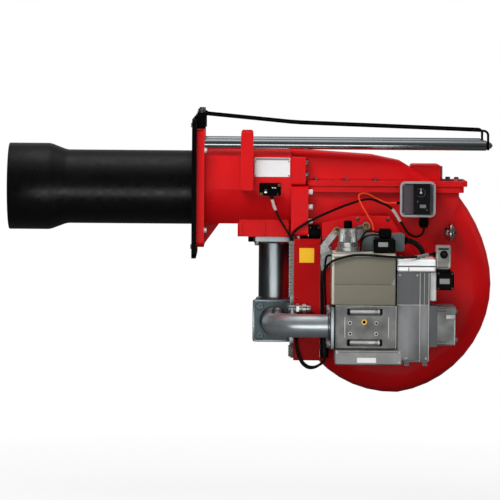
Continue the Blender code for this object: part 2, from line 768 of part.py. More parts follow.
def inset(outline, distance):
    """The outline moved inwards by a distance; the outline runs counter-clockwise."""
    count = len(outline)
    lines = []
    for index in range(count):
        start = Vector(outline[index])
        end = Vector(outline[(index + 1) % count])
        heading = (end - start).normalized()
        inward = Vector((-heading.y, heading.x))
        lines.append((start + inward * distance, heading))
    moved = []
    for index in range(count):
        start, heading = lines[index - 1]
        other, other_heading = lines[index]
        cross = heading.x * other_heading.y - heading.y * other_heading.x
        offset = other - start
        if abs(cross) < MERGE:
            moved.append(tuple(other))
            continue
        share = (offset.x * other_heading.y - offset.y * other_heading.x) / cross
        moved.append(tuple(start + heading * share))
    return moved


def tube(name, points, radius, resolution=2):
    """A round bar or cable along a list of points."""
    curve = bpy.data.curves.new(name, "CURVE")
    curve.dimensions = "3D"
    curve.bevel_depth = radius
    curve.bevel_resolution = resolution
    curve.use_fill_caps = True
    curve.render_resolution_u = 0
    spline = curve.splines.new("POLY")
    spline.points.add(len(points) - 1)
    for point, place in zip(spline.points, points):
        point.co = (*place, 1.0)
    return placed(name, curve, Vector((0.0, 0.0, 0.0)))


def tube_solid(name, points, radius, resolution=2):
    """The same as a mesh, so that it can be cut or joined."""
    mesh = solid_mesh(tube(name + "_path", points, radius, resolution), name)
    return placed(name, shaded(mesh), Vector((0.0, 0.0, 0.0)))


def smooth_route(points, step):
    """Points at even steps along a smooth curve through the given points, with straight ends."""
    places = [Vector(point) for point in points]
    fine = []
    fine_count = 12
    for index in range(len(places) - 1):
        before = places[max(index - 1, 0)]
        start = places[index]
        end = places[index + 1]
        after = places[min(index + 2, len(places) - 1)]
        for part in range(fine_count):
            share = part / fine_count
            fine.append(0.5 * (2 * start + (end - before) * share
                               + (2 * before - 5 * start + 4 * end - after) * share ** 2
                               + (3 * start - before - 3 * end + after) * share ** 3))
    fine.append(places[-1])
    reach = [0.0]
    for start, end in zip(fine, fine[1:]):
        reach.append(reach[-1] + (end - start).length)
    count = max(2, round(reach[-1] / step))
    first_lead = places[0] + (places[1] - places[0]).normalized() * CABLE_LEAD
    last_lead = places[-1] + (places[-2] - places[-1]).normalized() * CABLE_LEAD
    route = [tuple(places[0]), tuple(first_lead)]
    index = 0
    for number in range(1, count):
        target = reach[-1] * number / count
        while index < len(reach) - 2 and reach[index + 1] < target:
            index += 1
        share = (target - reach[index]) / (reach[index + 1] - reach[index])
        route.append(tuple(fine[index].lerp(fine[index + 1], share)))
    return route + [tuple(last_lead), tuple(places[-1])]


def combine(target, operation, tools):
    """Join or cut the target with the tools, which move to the cutters."""
    for tool in tools:
        modifier = target.modifiers.new(tool.name, "BOOLEAN")
        modifier.operation = operation
        modifier.solver = "EXACT"
        modifier.object = tool
        PARTS.objects.unlink(tool)
        CUTTERS.objects.link(tool)
        tool.hide_render = True
        tool.display_type = "WIRE"
    return target


def fuse(target, *tools):
    return combine(target, "UNION", tools)


def carve(target, *tools):
    return combine(target, "DIFFERENCE", tools)


def axle(name, place):
    """An empty on a joint's axis, which the moving pieces hang on."""
    empty = bpy.data.objects.new(name, None)
    PARTS.objects.link(empty)
    empty.location = place
    empty.empty_display_size = SHAFT_RADIUS
    return empty


def hang(empty, *pieces):
    for piece in pieces:
        piece.parent = empty
        piece.location = piece.location - empty.location


def mounting_plate():
    plate = block("mounting_plate", (0.0, PLATE_THICK), (-PLATE_HALF_WIDTH, PLATE_HALF_WIDTH),
                  (PLATE_TOP - PLATE_HEIGHT, PLATE_TOP), PLATE_CORNER, "X", 3)
    middle = (0.0, 0.0)
    carve(plate,
          cylinder("tube_bore", "X", (-OVERRUN, PLATE_THICK + OVERRUN), middle,
                   TUBE_RADIUS + SEAT, BIG_SIDES),
          cylinder("tube_lip_bore", "X", (PLATE_THICK - LIP_THICK - SEAT, PLATE_THICK + OVERRUN),
                   middle, TUBE_RADIUS + LIP_HEIGHT + SEAT, BIG_SIDES))
    for side in SIDES:
        place = (side * BAR_SPREAD, BAR_LIFT)
        carve(plate, cylinder("bar_socket", "X", (-OVERRUN, PLATE_THICK + OVERRUN), place,
                              BAR_RADIUS + SEAT))
        for rise in SIDES:
            place = (side * STUD_SPREAD, rise * STUD_LIFT)
            carve(plate, cylinder("stud_hole", "X", (-OVERRUN, PLATE_THICK + OVERRUN), place,
                                  STUD_HOLE_RADIUS, SMALL_SIDES))
        middle_y = side * BAR_SPREAD
        bolt_x = PLATE_THICK + BRACKET_LENGTH / 2
        head_z = BRACKET_TOP + SEAT + EYE_THICK + SEAT
        fuse(plate,
             block("rod_bracket", (PLATE_THICK / 2, PLATE_THICK + BRACKET_LENGTH),
                   (middle_y - BRACKET_HALF_WIDTH, middle_y + BRACKET_HALF_WIDTH),
                   (BRACKET_Z, BRACKET_TOP)),
             cylinder("bracket_bolt", "Z", (BRACKET_TOP - BRACKET_DROP / 2, head_z + EYE_BOLT_RADIUS),
                      (bolt_x, middle_y), EYE_BOLT_RADIUS, SMALL_SIDES),
             cylinder("bracket_bolt_head", "Z", (head_z, head_z + EYE_BOLT_HEAD_HEIGHT),
                      (bolt_x, middle_y), EYE_BOLT_HEAD_RADIUS, HEX_SIDES))
    return finish(plate, "black paint")


def blast_tube():
    rear = PLATE_THICK
    inner = TUBE_RADIUS - TUBE_WALL
    lip = TUBE_RADIUS + LIP_HEIGHT
    neck = -TUBE_LENGTH
    head = neck - CONE_LENGTH
    mouth = head - HEAD_LENGTH
    profile = [
        (lip, rear), (lip, rear - LIP_THICK), (TUBE_RADIUS, rear - LIP_THICK), (TUBE_RADIUS, neck),
        (HEAD_RADIUS, head), (HEAD_RADIUS, mouth), (HEAD_RADIUS - TUBE_WALL, mouth),
        (HEAD_RADIUS - TUBE_WALL, head), (inner, neck), (inner, rear),
    ]
    return finish(turned("blast_tube", "X", profile, (0.0, 0.0), hollow=True), "tube black")


def slide_bar(name, side):
    profile = [
        (0.0, BAR_LENGTH), (BAR_RADIUS - BAR_CHAMFER, BAR_LENGTH),
        (BAR_RADIUS, BAR_LENGTH - BAR_CHAMFER), (BAR_RADIUS, BAR_CHAMFER),
        (BAR_RADIUS - BAR_CHAMFER, 0.0), (0.0, 0.0),
    ]
    bar = turned(name, "X", profile, (side * BAR_SPREAD, BAR_LIFT), ROUND_SIDES)
    return finish(bar, "chrome")


def tie_rod(name, side):
    """A rod from the bracket's top to a strap on the bar's end."""
    middle = side * BAR_SPREAD
    eye_x = PLATE_THICK + BRACKET_LENGTH / 2
    eye_z = BRACKET_TOP + SEAT + EYE_THICK / 2
    kink_z = eye_z - ROD_KINK_DROP
    strap_top = BAR_LIFT + STRAP_ABOVE_BAR
    route = [
        (eye_x + EYE_BOLT_HEAD_RADIUS, middle, eye_z),
        (eye_x + ROD_KINK_RUN + EYE_LENGTH / 2, middle, kink_z),
        (STRAP_X + STRAP_THICK / 2, middle, strap_top - ROD_RADIUS),
    ]
    rod = tube_solid(name, route, ROD_RADIUS)
    fuse(rod,
         block("rod_eye", (eye_x - EYE_HALF_WIDTH, eye_x - EYE_HALF_WIDTH + EYE_LENGTH),
               (middle - EYE_HALF_WIDTH, middle + EYE_HALF_WIDTH),
               (BRACKET_TOP + SEAT, BRACKET_TOP + SEAT + EYE_THICK), BAR_CHAMFER, "Z", 1),
         block("rod_strap", (STRAP_X, STRAP_X + STRAP_THICK),
               (middle - STRAP_HALF_WIDTH, middle + STRAP_HALF_WIDTH),
               (BAR_LIFT - STRAP_BELOW_BAR, strap_top), STRAP_HALF_WIDTH / 2, "X", 3))
    carve(rod, cylinder("rod_eye_hole", "Z", (BRACKET_TOP - OVERRUN, BRACKET_TOP + OVERRUN),
                        (eye_x, middle), EYE_BOLT_RADIUS + SEAT, SMALL_SIDES))
    return finish(rod, "black paint")


def neck_outline():
    """The neck's section in (Y, Z), counter-clockwise: a flat top, chamfered shoulders and a keel."""
    top_share, shoulder_share, keel_share, floor_share = 0.58, 0.87, 0.84, 0.52
    edge_drop_share, keel_drop_share = 0.5, 0.58
    half = [
        (top_share * NECK_HALF_WIDTH, NECK_TOP),
        (shoulder_share * NECK_HALF_WIDTH, NECK_SHOULDER + edge_drop_share * (NECK_TOP - NECK_SHOULDER)),
        (NECK_HALF_WIDTH, NECK_SHOULDER),
        (NECK_HALF_WIDTH, 0.0),
        (keel_share * NECK_HALF_WIDTH, -keel_drop_share * NECK_BOTTOM),
        (floor_share * NECK_HALF_WIDTH, -NECK_BOTTOM),
    ]
    return [(-y, z) for y, z in half] + list(reversed(half))


def head_housing():
    """The cast neck with its front flange, slide lugs, gas boss and sensor pad."""
    flange_end = NECK_X + FLANGE_THICK
    outline = neck_outline()
    housing = prism("head_housing", "X", outline, (flange_end - PLATE_THICK, NECK_END))
    lug_x = flange_end + LUG_OFFSET
    boss_x = NECK_X + FLANGE_THICK + BOSS_FRONT
    boss_floor = -NECK_BOTTOM - BOSS_DROP
    sensor_x = flange_end + SENSOR_OFFSET
    fuse(housing,
         block("front_flange", (NECK_X, flange_end), (-FLANGE_HALF_WIDTH, FLANGE_HALF_WIDTH),
               (-FLANGE_BOTTOM, FLANGE_TOP), FLANGE_CORNER, "X", 3),
         block("gas_boss", (boss_x, NECK_END), (-BOSS_HALF_WIDTH, BOSS_HALF_WIDTH),
               (boss_floor, -NECK_BOTTOM + NECK_WALL * 2), NECK_WALL, "Z", 1),
         block("sensor_pad", (sensor_x - SENSOR_PAD_HALF_LENGTH, sensor_x + SENSOR_PAD_HALF_LENGTH),
               (-NECK_HALF_WIDTH, -NECK_HALF_WIDTH + NECK_WALL * 3),
               (-SENSOR_PAD_HALF_HEIGHT, SENSOR_PAD_HALF_HEIGHT), NECK_WALL / 2, "Y", 1),
         prism("gusset", "Y",
               [(flange_end - SEAT, -NECK_BOTTOM + NECK_WALL),
                (flange_end - SEAT, -NECK_BOTTOM - GUSSET_DEPTH),
                (flange_end + GUSSET_RUN, -NECK_BOTTOM + NECK_WALL)],
               (-GUSSET_THICK / 2, GUSSET_THICK / 2)))
    for number in range(3):
        rib_x = boss_x + BOSS_RIB_THICK + number * (NECK_END - boss_x - 3 * BOSS_RIB_THICK) / 2
        fuse(housing, block("boss_rib", (rib_x, rib_x + BOSS_RIB_THICK),
                            (-BOSS_HALF_WIDTH - BOSS_RIB_REACH, -BOSS_HALF_WIDTH + BOSS_RIB_REACH),
                            (boss_floor + BOSS_RIB_REACH, -NECK_BOTTOM + NECK_WALL)))
    for side in SIDES:
        outer = side * (NECK_HALF_WIDTH - NECK_WALL)
        reach = side * (BAR_SPREAD + LUG_REACH)
        fuse(housing, block("slide_lug", (lug_x, lug_x + LUG_LENGTH), sorted((outer, reach)),
                            (-LUG_BOTTOM, LUG_TOP), LUG_CHAMFER, "Y", 1))
    carve(housing,
          prism("neck_hollow", "X", inset(outline, NECK_WALL), (flange_end, NECK_END + OVERRUN)),
          cylinder("tube_opening", "X", (NECK_X - OVERRUN, flange_end + SEAT), (0.0, 0.0),
                   TUBE_RADIUS - TUBE_WALL, BIG_SIDES),
          cylinder("gas_bore", "Z", (boss_floor - OVERRUN, -NECK_BOTTOM + NECK_WALL + OVERRUN),
                   (RISER_X, 0.0), GAS_BORE_RADIUS))
    for side in SIDES:
        carve(housing, cylinder("bar_guide", "X", (NECK_X - OVERRUN, lug_x + LUG_LENGTH + OVERRUN),
                                (side * BAR_SPREAD, BAR_LIFT), BAR_RADIUS + RUNNING))
    return finish(housing, "red paint")


def flame_sensor():
    face = -NECK_HALF_WIDTH - SEAT
    middle = NECK_X + FLANGE_THICK + SENSOR_OFFSET
    base = block("flame_sensor", (middle - SENSOR_HALF_LENGTH, middle + SENSOR_HALF_LENGTH),
                 (face - SENSOR_BASE_THICK, face), (-SENSOR_HALF_HEIGHT, SENSOR_HALF_HEIGHT),
                 SENSOR_BASE_THICK, "Y", 2)
    inset_x = SENSOR_HALF_LENGTH - SENSOR_BODY_INSET
    inset_z = SENSOR_HALF_HEIGHT - SENSOR_BODY_INSET / 2
    fuse(base, block("sensor_body", (middle - inset_x, middle + inset_x),
                     (face - SENSOR_BODY_REACH, face - SENSOR_BASE_THICK / 2), (-inset_z, inset_z),
                     SENSOR_BASE_THICK, None, 2))
    return finish(base, "black plastic")


def scroll_radius(turn):
    """The scroll's outer radius at an angle from +X, in degrees, from its tongue to its outlet."""
    tongue_turn, full_turn, exit_start, exit_turn = 150.0, 280.0, 370.0, 409.0
    if turn <= full_turn:
        share = (turn - tongue_turn) / (full_turn - tongue_turn)
        return SCROLL_TONGUE_RADIUS + (SCROLL_FULL_RADIUS - SCROLL_TONGUE_RADIUS) * share
    share = max(0.0, (turn - exit_start) / (exit_turn - exit_start))
    return SCROLL_FULL_RADIUS + (SCROLL_EXIT_RADIUS - SCROLL_FULL_RADIUS) * share ** 2


def scroll_points(shrink):
    """Points of the scroll's curve, from the tongue round to the outlet, moved inwards."""
    first_turn, last_turn = 150.0, 409.0
    points = []
    for number in range(SCROLL_STEPS + 1):
        turn = first_turn + (last_turn - first_turn) * number / SCROLL_STEPS
        radius = scroll_radius(turn) - shrink
        angle = math.radians(turn)
        points.append((FAN_X + radius * math.cos(angle), FAN_Z + radius * math.sin(angle)))
    return points


def fan_housing():
    """The scroll, the lower half of the outlet duct, its joint flange and its split flange."""
    outer = scroll_points(0.0)
    last_x = outer[-1][0]
    joint_end = JOINT_X + JOINT_THICK
    split_floor = SPLIT_Z - SPLIT_STEP_THICK
    duct_roof = SPLIT_Z - SPLIT_STEP_THICK / 2
    step_half = LEDGE_HALF_WIDTH - SPLIT_STEP_INSET
    body = prism("fan_housing", "Y",
                 outer + [(last_x, duct_roof), (joint_end - SCROLL_WALL, duct_roof),
                          (joint_end - SCROLL_WALL, -DUCT_FLOOR)],
                 (-SCROLL_HALF_DEPTH, SCROLL_HALF_DEPTH), len(outer), SCROLL_ROUND, 4)
    fuse(body,
         block("joint_flange", (JOINT_X, joint_end), (-JOINT_HALF_WIDTH, JOINT_HALF_WIDTH),
               (-JOINT_BOTTOM, SPLIT_Z), JOINT_CORNER, "X", 2),
         block("split_step", (JOINT_X + LEDGE_OFFSET, LEDGE_X + SPLIT_STEP_LENGTH),
               (-step_half, step_half), (split_floor, SPLIT_Z),
               LEDGE_CORNER, "Z", 2))
    inner = scroll_points(SCROLL_WALL)
    above = SPLIT_Z + OVERRUN
    before = JOINT_X - OVERRUN
    half = SCROLL_HALF_DEPTH - SCROLL_WALL
    carve(body,
          prism("scroll_hollow", "Y",
                inner + [(inner[-1][0], above), (before, above), (before, SCROLL_WALL - DUCT_FLOOR)],
                (-half, half), len(inner), SCROLL_ROUND - SCROLL_WALL, 2),
          cylinder("air_eye", "Y", (FAN_FACE - OVERRUN, FAN_FACE + OVERRUN), (FAN_X, FAN_Z),
                   EYE_HOLE_RADIUS, BIG_SIDES),
          cylinder("impeller_opening", "Y", (-FAN_FACE - OVERRUN, -FAN_FACE + OVERRUN),
                   (FAN_X, FAN_Z), IMPELLER_HOLE_RADIUS, BIG_SIDES))
    return finish(body, "red paint")


def cover_outline(shrink, floor):
    """The duct cover's side view: its crest falls to the tail.  It runs counter-clockwise."""
    start = JOINT_X + shrink
    return [
        (JOINT_X + COVER_TAIL_RUN - shrink, floor),
        (JOINT_X + COVER_BEND_RUN - shrink / 2, COVER_TOP - COVER_BEND_DROP - shrink),
        (JOINT_X + COVER_CREST_RUN, COVER_TOP - COVER_CREST_DROP - shrink),
        (start, COVER_TOP - shrink),
        (start, floor),
    ]


def top_cover():
    cover = prism("top_cover", "Y", cover_outline(0.0, COVER_Z + LEDGE_THICK / 2),
                  (-COVER_HALF_DEPTH, COVER_HALF_DEPTH), 4, COVER_ROUND, 3)
    box_x = JOINT_X + REAR_BOX_RUN
    fuse(cover,
         block("cover_ledge", (LEDGE_X, LEDGE_X + LEDGE_LENGTH), (-LEDGE_HALF_WIDTH, LEDGE_HALF_WIDTH),
               (COVER_Z, LEDGE_TOP), LEDGE_CORNER, "Z", 2),
         block("rear_box", (box_x, box_x + REAR_BOX_LENGTH), (-REAR_BOX_HALF_DEPTH, REAR_BOX_HALF_DEPTH),
               (COVER_Z + LEDGE_THICK / 2, REAR_BOX_TOP), REAR_BOX_ROUND, None, 2),
         block("upper_joint", (JOINT_X, JOINT_X + UPPER_JOINT_THICK),
               (-UPPER_JOINT_HALF_WIDTH, UPPER_JOINT_HALF_WIDTH), (COVER_Z, UPPER_JOINT_TOP),
               JOINT_CORNER, "X", 2))
    half = COVER_HALF_DEPTH - COVER_WALL
    hollow = cover_outline(COVER_WALL, COVER_Z - OVERRUN)
    hollow[3] = (JOINT_X - OVERRUN, hollow[3][1])
    hollow[4] = (JOINT_X - OVERRUN, hollow[4][1])
    carve(cover, prism("cover_hollow", "Y", hollow, (-half, half), 4, COVER_ROUND - COVER_WALL, 2))
    return finish(cover, "red paint")


def cover_bracket():
    """The small angle bracket that stands on the ledge against the rear box."""
    back = JOINT_X + REAR_BOX_RUN + REAR_BOX_LENGTH + SEAT
    floor = LEDGE_TOP + SEAT
    width = (HOOK_Y - HOOK_HALF_WIDTH, HOOK_Y + HOOK_HALF_WIDTH)
    leg = block("cover_bracket", (back, back + HOOK_THICK), width, (floor, REAR_BOX_TOP - HOOK_THICK))
    bolt_x = back + HOOK_FOOT_LENGTH - HOOK_HALF_WIDTH
    fuse(leg,
         block("bracket_foot", (back + HOOK_THICK / 2, back + HOOK_FOOT_LENGTH),
               (width[0] + SEAT, width[1] - SEAT), (floor, floor + HOOK_THICK)),
         cylinder("bracket_bolt_top", "Z",
                  (floor + HOOK_THICK / 2, floor + HOOK_THICK + HOOK_BOLT_HEIGHT),
                  (bolt_x, HOOK_Y), HOOK_BOLT_RADIUS, HEX_SIDES))
    return finish(leg, "zinc")


def intake_outline():
    """The intake box's front, counter-clockwise, around the fan's axis."""
    left = FAN_X - INTAKE_LEFT
    right = FAN_X + INTAKE_RIGHT
    return [
        (left, FAN_Z + INTAKE_SHOULDER),
        (left, FAN_Z - INTAKE_LEFT_HIP),
        (FAN_X - INTAKE_BOTTOM_LEFT_RUN, FAN_Z - INTAKE_BOTTOM),
        (FAN_X + INTAKE_BOTTOM_RIGHT_RUN, FAN_Z - INTAKE_BOTTOM),
        (right, FAN_Z - INTAKE_RIGHT_HIP),
        (right, FAN_Z + INTAKE_RIGHT_SHOULDER),
        (FAN_X + INTAKE_TOP_RIGHT_RUN, FAN_Z + INTAKE_TOP),
        (FAN_X - INTAKE_TOP_LEFT_RUN, FAN_Z + INTAKE_TOP),
    ]


def intake_box():
    outline = intake_outline()
    box = prism("intake_box", "Y", outline, (INTAKE_FACE, INTAKE_BACK))
    inside = (INTAKE_FACE + INTAKE_WALL, INTAKE_BACK - INTAKE_WALL)
    left = FAN_X - INTAKE_LEFT + INTAKE_WALL
    channel_end = DAMPER_X + DAMPER_HALF_LENGTH + RUNNING * 2
    carve(box,
          prism("intake_hollow", "Y", inset(outline, INTAKE_WALL), inside),
          cylinder("intake_eye", "Y", (INTAKE_BACK - INTAKE_WALL - OVERRUN, INTAKE_BACK + OVERRUN),
                   (FAN_X, FAN_Z), EYE_HOLE_RADIUS, BIG_SIDES),
          block("air_mouth", (left, channel_end), inside,
                (FAN_Z + INTAKE_SHOULDER - OVERRUN, FAN_Z + INTAKE_TOP + OVERRUN)))
    fuse(box,
         block("channel_wall", (channel_end, channel_end + INTAKE_WALL),
               (INTAKE_FACE + INTAKE_WALL / 2, INTAKE_BACK - INTAKE_WALL / 2),
               (DAMPER_Z - DAMPER_HALF_LENGTH, FAN_Z + INTAKE_TOP - INTAKE_WALL / 2)),
         cylinder("damper_boss", "Y", (INTAKE_FACE - DAMPER_BOSS_REACH, INTAKE_FACE + INTAKE_WALL / 2),
                  (DAMPER_X, DAMPER_Z), DAMPER_BOSS_RADIUS))
    carve(box, cylinder("damper_bearing", "Y", (INTAKE_FACE - OVERRUN, INTAKE_FACE + OVERRUN),
                        (DAMPER_X, DAMPER_Z), DAMPER_SHAFT_RADIUS + SEAT, SMALL_SIDES))
    return finish(box, "red paint")


def air_damper():
    """The damper blade on its shaft; its lever lies behind the cam's, which sweeps over it."""
    inner = INTAKE_BACK - INTAKE_WALL - DAMPER_SIDE_GAP
    outer = INTAKE_FACE + INTAKE_WALL + DAMPER_SIDE_GAP
    blade = block("air_damper", (DAMPER_X - DAMPER_HALF_LENGTH, DAMPER_X + DAMPER_HALF_LENGTH),
                  (outer, inner), (DAMPER_Z - DAMPER_THICK / 2, DAMPER_Z + DAMPER_THICK / 2))
    fuse(blade,
         cylinder("damper_shaft", "Y", (DAMPER_LEVER_FACE + SEAT, inner - SEAT), (DAMPER_X, DAMPER_Z),
                  DAMPER_SHAFT_RADIUS, SMALL_SIDES),
         lever("damper_lever", DAMPER_X, DAMPER_Z, (DAMPER_LEVER_FACE, DAMPER_LEVER_BACK)),
         lever_pin("damper_pin", DAMPER_X, DAMPER_Z, DAMPER_LEVER_BACK))
    hang(axle("damper_axis", (DAMPER_X, 0.0, DAMPER_Z)), blade)
    return finish(blade, "zinc")


def lever(name, x, z, span):
    """A lever with round ends, from its shaft to its pin."""
    reach = math.hypot(LEVER_RUN, LEVER_RISE)
    heading = math.atan2(LEVER_RISE, LEVER_RUN)
    end_steps = 6
    outline = []
    for end, share in ((0.0, 1), (reach, -1)):
        for step in range(end_steps + 1):
            angle = heading + share * math.pi / 2 + math.pi * step / end_steps
            outline.append((x + end * math.cos(heading) + LEVER_HALF_WIDTH * math.cos(angle),
                            z + end * math.sin(heading) + LEVER_HALF_WIDTH * math.sin(angle)))
    return prism(name, "Y", outline, span)


def lever_pin(name, x, z, back):
    return cylinder(name, "Y", (LINK_FACE - PIN_HEAD, back - SEAT),
                    (x + LEVER_RUN, z + LEVER_RISE), PIN_RADIUS, SMALL_SIDES)


def servo_cam():
    """The cam sector with its adjusting screws, the servo shaft and the driving lever."""
    steps = 10
    half = CAM_SPREAD / 2
    outline = [(CAM_X, CAM_Z)]
    for step in range(steps + 1):
        angle = CAM_TURN - half + CAM_SPREAD * step / steps
        outline.append((CAM_X + CAM_RADIUS * math.cos(angle), CAM_Z + CAM_RADIUS * math.sin(angle)))
    cam = prism("servo_cam", "Y", outline, (LEVER_BACK - SEAT, CAM_BACK))
    fuse(cam,
         cylinder("servo_shaft", "Y", (LEVER_FACE + SEAT, SERVO_FACE + SERVO_SHAFT_SOCKET - SEAT),
                  (CAM_X, CAM_Z), SERVO_SHAFT_RADIUS, SMALL_SIDES),
         lever("cam_lever", CAM_X, CAM_Z, (LEVER_FACE, LEVER_BACK)),
         lever_pin("cam_pin", CAM_X, CAM_Z, LEVER_BACK))
    for number in range(CAM_SCREW_COUNT):
        angle = CAM_TURN - half + CAM_SPREAD * (number + 0.5) / CAM_SCREW_COUNT
        heading = Vector((math.cos(angle), 0.0, math.sin(angle)))
        middle = Vector((CAM_X, (CAM_BACK + LEVER_BACK) / 2, CAM_Z))
        fuse(cam, tube_solid("cam_screw", [middle + heading * CAM_SCREW_ROOT,
                                           middle + heading * CAM_SCREW_REACH], CAM_SCREW_RADIUS))
    hang(axle("cam_axis", (CAM_X, 0.0, CAM_Z)), cam)
    return finish(cam, "zinc")


def link_rod():
    """The link between the two levers; its far eye is the open pivot of the four-bar."""
    near = (CAM_X + LEVER_RUN, CAM_Z + LEVER_RISE)
    far = (DAMPER_X + LEVER_RUN, DAMPER_Z + LEVER_RISE)
    middle = (LINK_BACK + LINK_FACE) / 2
    rod = tube_solid("link_rod", [(near[0], middle, near[1]), (far[0], middle, far[1])], LINK_ROD_RADIUS)
    for place, gap in ((near, SEAT), (far, OPEN_PIVOT_GAP)):
        fuse(rod, cylinder("link_eye", "Y", (LINK_FACE, LINK_BACK), place, LINK_EYE_RADIUS, SMALL_SIDES))
        carve(rod, cylinder("link_hole", "Y", (LINK_FACE - OVERRUN, LINK_BACK + OVERRUN), place,
                            PIN_RADIUS + gap, SMALL_SIDES))
    hang(axle("link_axis", (near[0], 0.0, near[1])), rod)
    return finish(rod, "steel")


def servo_bracket():
    right = FAN_X - INTAKE_LEFT - RUNNING
    back = FAN_FACE - SEAT
    top = SERVO_SHELF
    plate = block("servo_bracket", (right - SERVO_BRACKET_LENGTH, right),
                  (back - SERVO_BRACKET_THICK, back), (SERVO_COVER_BOTTOM, top),
                  SERVO_ROUND, "Y", 2)
    return finish(plate, "zinc")


def servo_motor():
    body = block("servo_motor", (SERVO_RIGHT - SERVO_LENGTH, SERVO_RIGHT), (SERVO_FACE, SERVO_BACK),
                 (SERVO_SHELF - SERVO_HEIGHT, SERVO_SHELF), SERVO_ROUND, None, 1)
    fuse(body, block("servo_head", (SERVO_RIGHT - SERVO_HEAD_LENGTH, SERVO_RIGHT - SEAT),
                     (SERVO_FACE + SEAT, SERVO_BACK - SEAT),
                     (SERVO_SHELF - SERVO_ROUND * 2, SERVO_TOP), SERVO_ROUND, None, 1))
    carve(body, cylinder("servo_socket", "Y", (SERVO_FACE - OVERRUN, SERVO_FACE + SERVO_SHAFT_SOCKET),
                         (CAM_X, CAM_Z), SERVO_SHAFT_RADIUS + SEAT, SMALL_SIDES))
    return finish(body, "black plastic")


def servo_cover():
    """The folded sheet cover, open at the back and on the linkage side."""
    wall = SERVO_COVER_WALL
    cover = block("servo_cover", (SERVO_COVER_X, SERVO_RIGHT), (SERVO_COVER_FACE, SERVO_BACK),
                  (SERVO_COVER_BOTTOM, SERVO_COVER_TOP))
    carve(cover,
          block("cover_inside", (SERVO_COVER_X + wall, SERVO_RIGHT + OVERRUN),
                (SERVO_COVER_FACE + wall, SERVO_BACK + OVERRUN),
                (SERVO_COVER_BOTTOM + wall, SERVO_COVER_TOP - wall)),
          block("servo_notch", (SERVO_RIGHT - SERVO_LENGTH - RUNNING, SERVO_RIGHT + OVERRUN),
                (SERVO_FACE - RUNNING, SERVO_BACK + OVERRUN),
                (SERVO_COVER_TOP - wall - OVERRUN, SERVO_COVER_TOP + OVERRUN)))
    return finish(cover, "red paint")


def terminal_comb():
    """The strip of terminals along the cover's left side."""
    right = SERVO_COVER_X - SEAT
    top = SERVO_COVER_TOP - COMB_DROP
    left = right - COMB_THICK
    comb = block("terminal_comb", (left, right), (COMB_Y - COMB_DEPTH / 2, COMB_Y + COMB_DEPTH / 2),
                 (top - COMB_HEIGHT, top))
    pitch = COMB_HEIGHT / (COMB_SLOT_COUNT + 1)
    for number in range(COMB_SLOT_COUNT):
        slot_z = top - pitch * (number + 1)
        carve(comb, block("comb_slot", (left - OVERRUN, left + COMB_SLOT_DEPTH),
                          (COMB_Y - COMB_DEPTH, COMB_Y + COMB_DEPTH),
                          (slot_z - pitch / 5, slot_z + pitch / 5)))
    return finish(comb, "grey plastic")


def cover_gland():
    right = SERVO_COVER_X - SEAT
    left = right - GLAND_LENGTH
    middle = (GLAND_Y, SERVO_COVER_BOTTOM + GLAND_LIFT)
    shoulder = left + GLAND_LENGTH / 2
    profile = [(0.0, right), (GLAND_RADIUS, right), (GLAND_RADIUS, shoulder),
               (GLAND_NUT_RADIUS, shoulder), (GLAND_NUT_RADIUS, left), (0.0, left)]
    return finish(turned("cover_gland", "X", profile, middle, ROUND_SIDES), "grey plastic")


def gas_riser():
    """The riser pipe with its square top flange under the neck's boss."""
    floor = RISER_TOP - RISER_FLANGE_THICK - RISER_LENGTH
    pipe = cylinder("gas_riser", "Z", (floor - RISER_SOCKET, RISER_TOP - RISER_FLANGE_THICK / 2),
                    (RISER_X, 0.0), RISER_RADIUS, BIG_SIDES)
    fuse(pipe, block("riser_flange", (RISER_X - RISER_FLANGE_HALF, RISER_X + RISER_FLANGE_HALF),
                     (-RISER_FLANGE_HALF, RISER_FLANGE_HALF),
                     (RISER_TOP - RISER_FLANGE_THICK, RISER_TOP), RISER_FLANGE_CORNER, "Z", 2))
    return finish(pipe, "zinc")


def gas_elbow_block():
    """The cast block between the riser and the elbow, with its square front plate."""
    half = ELBOW_BLOCK_HALF
    floor = BLOCK_TOP - ELBOW_BLOCK_HEIGHT
    casting = block("gas_elbow_block", (RISER_X - half, RISER_X + half),
                    (-ELBOW_BLOCK_FRONT, ELBOW_PLATE_THICK - ELBOW_BLOCK_FRONT),
                    (floor, BLOCK_TOP), ELBOW_BLOCK_ROUND, "Y", 2)
    inner = half - ELBOW_BLOCK_INSET
    fuse(casting, block("block_body", (RISER_X - inner, RISER_X + inner),
                        (ELBOW_PLATE_THICK / 2 - ELBOW_BLOCK_FRONT, ELBOW_BLOCK_BACK),
                        (floor + ELBOW_BLOCK_INSET, BLOCK_TOP - SEAT), ELBOW_BLOCK_ROUND, None, 2))
    carve(casting, cylinder("riser_socket", "Z", (BLOCK_TOP - RISER_SOCKET - SEAT, BLOCK_TOP + OVERRUN),
                            (RISER_X, 0.0), RISER_RADIUS + SEAT, BIG_SIDES))
    return finish(casting, "aluminium")


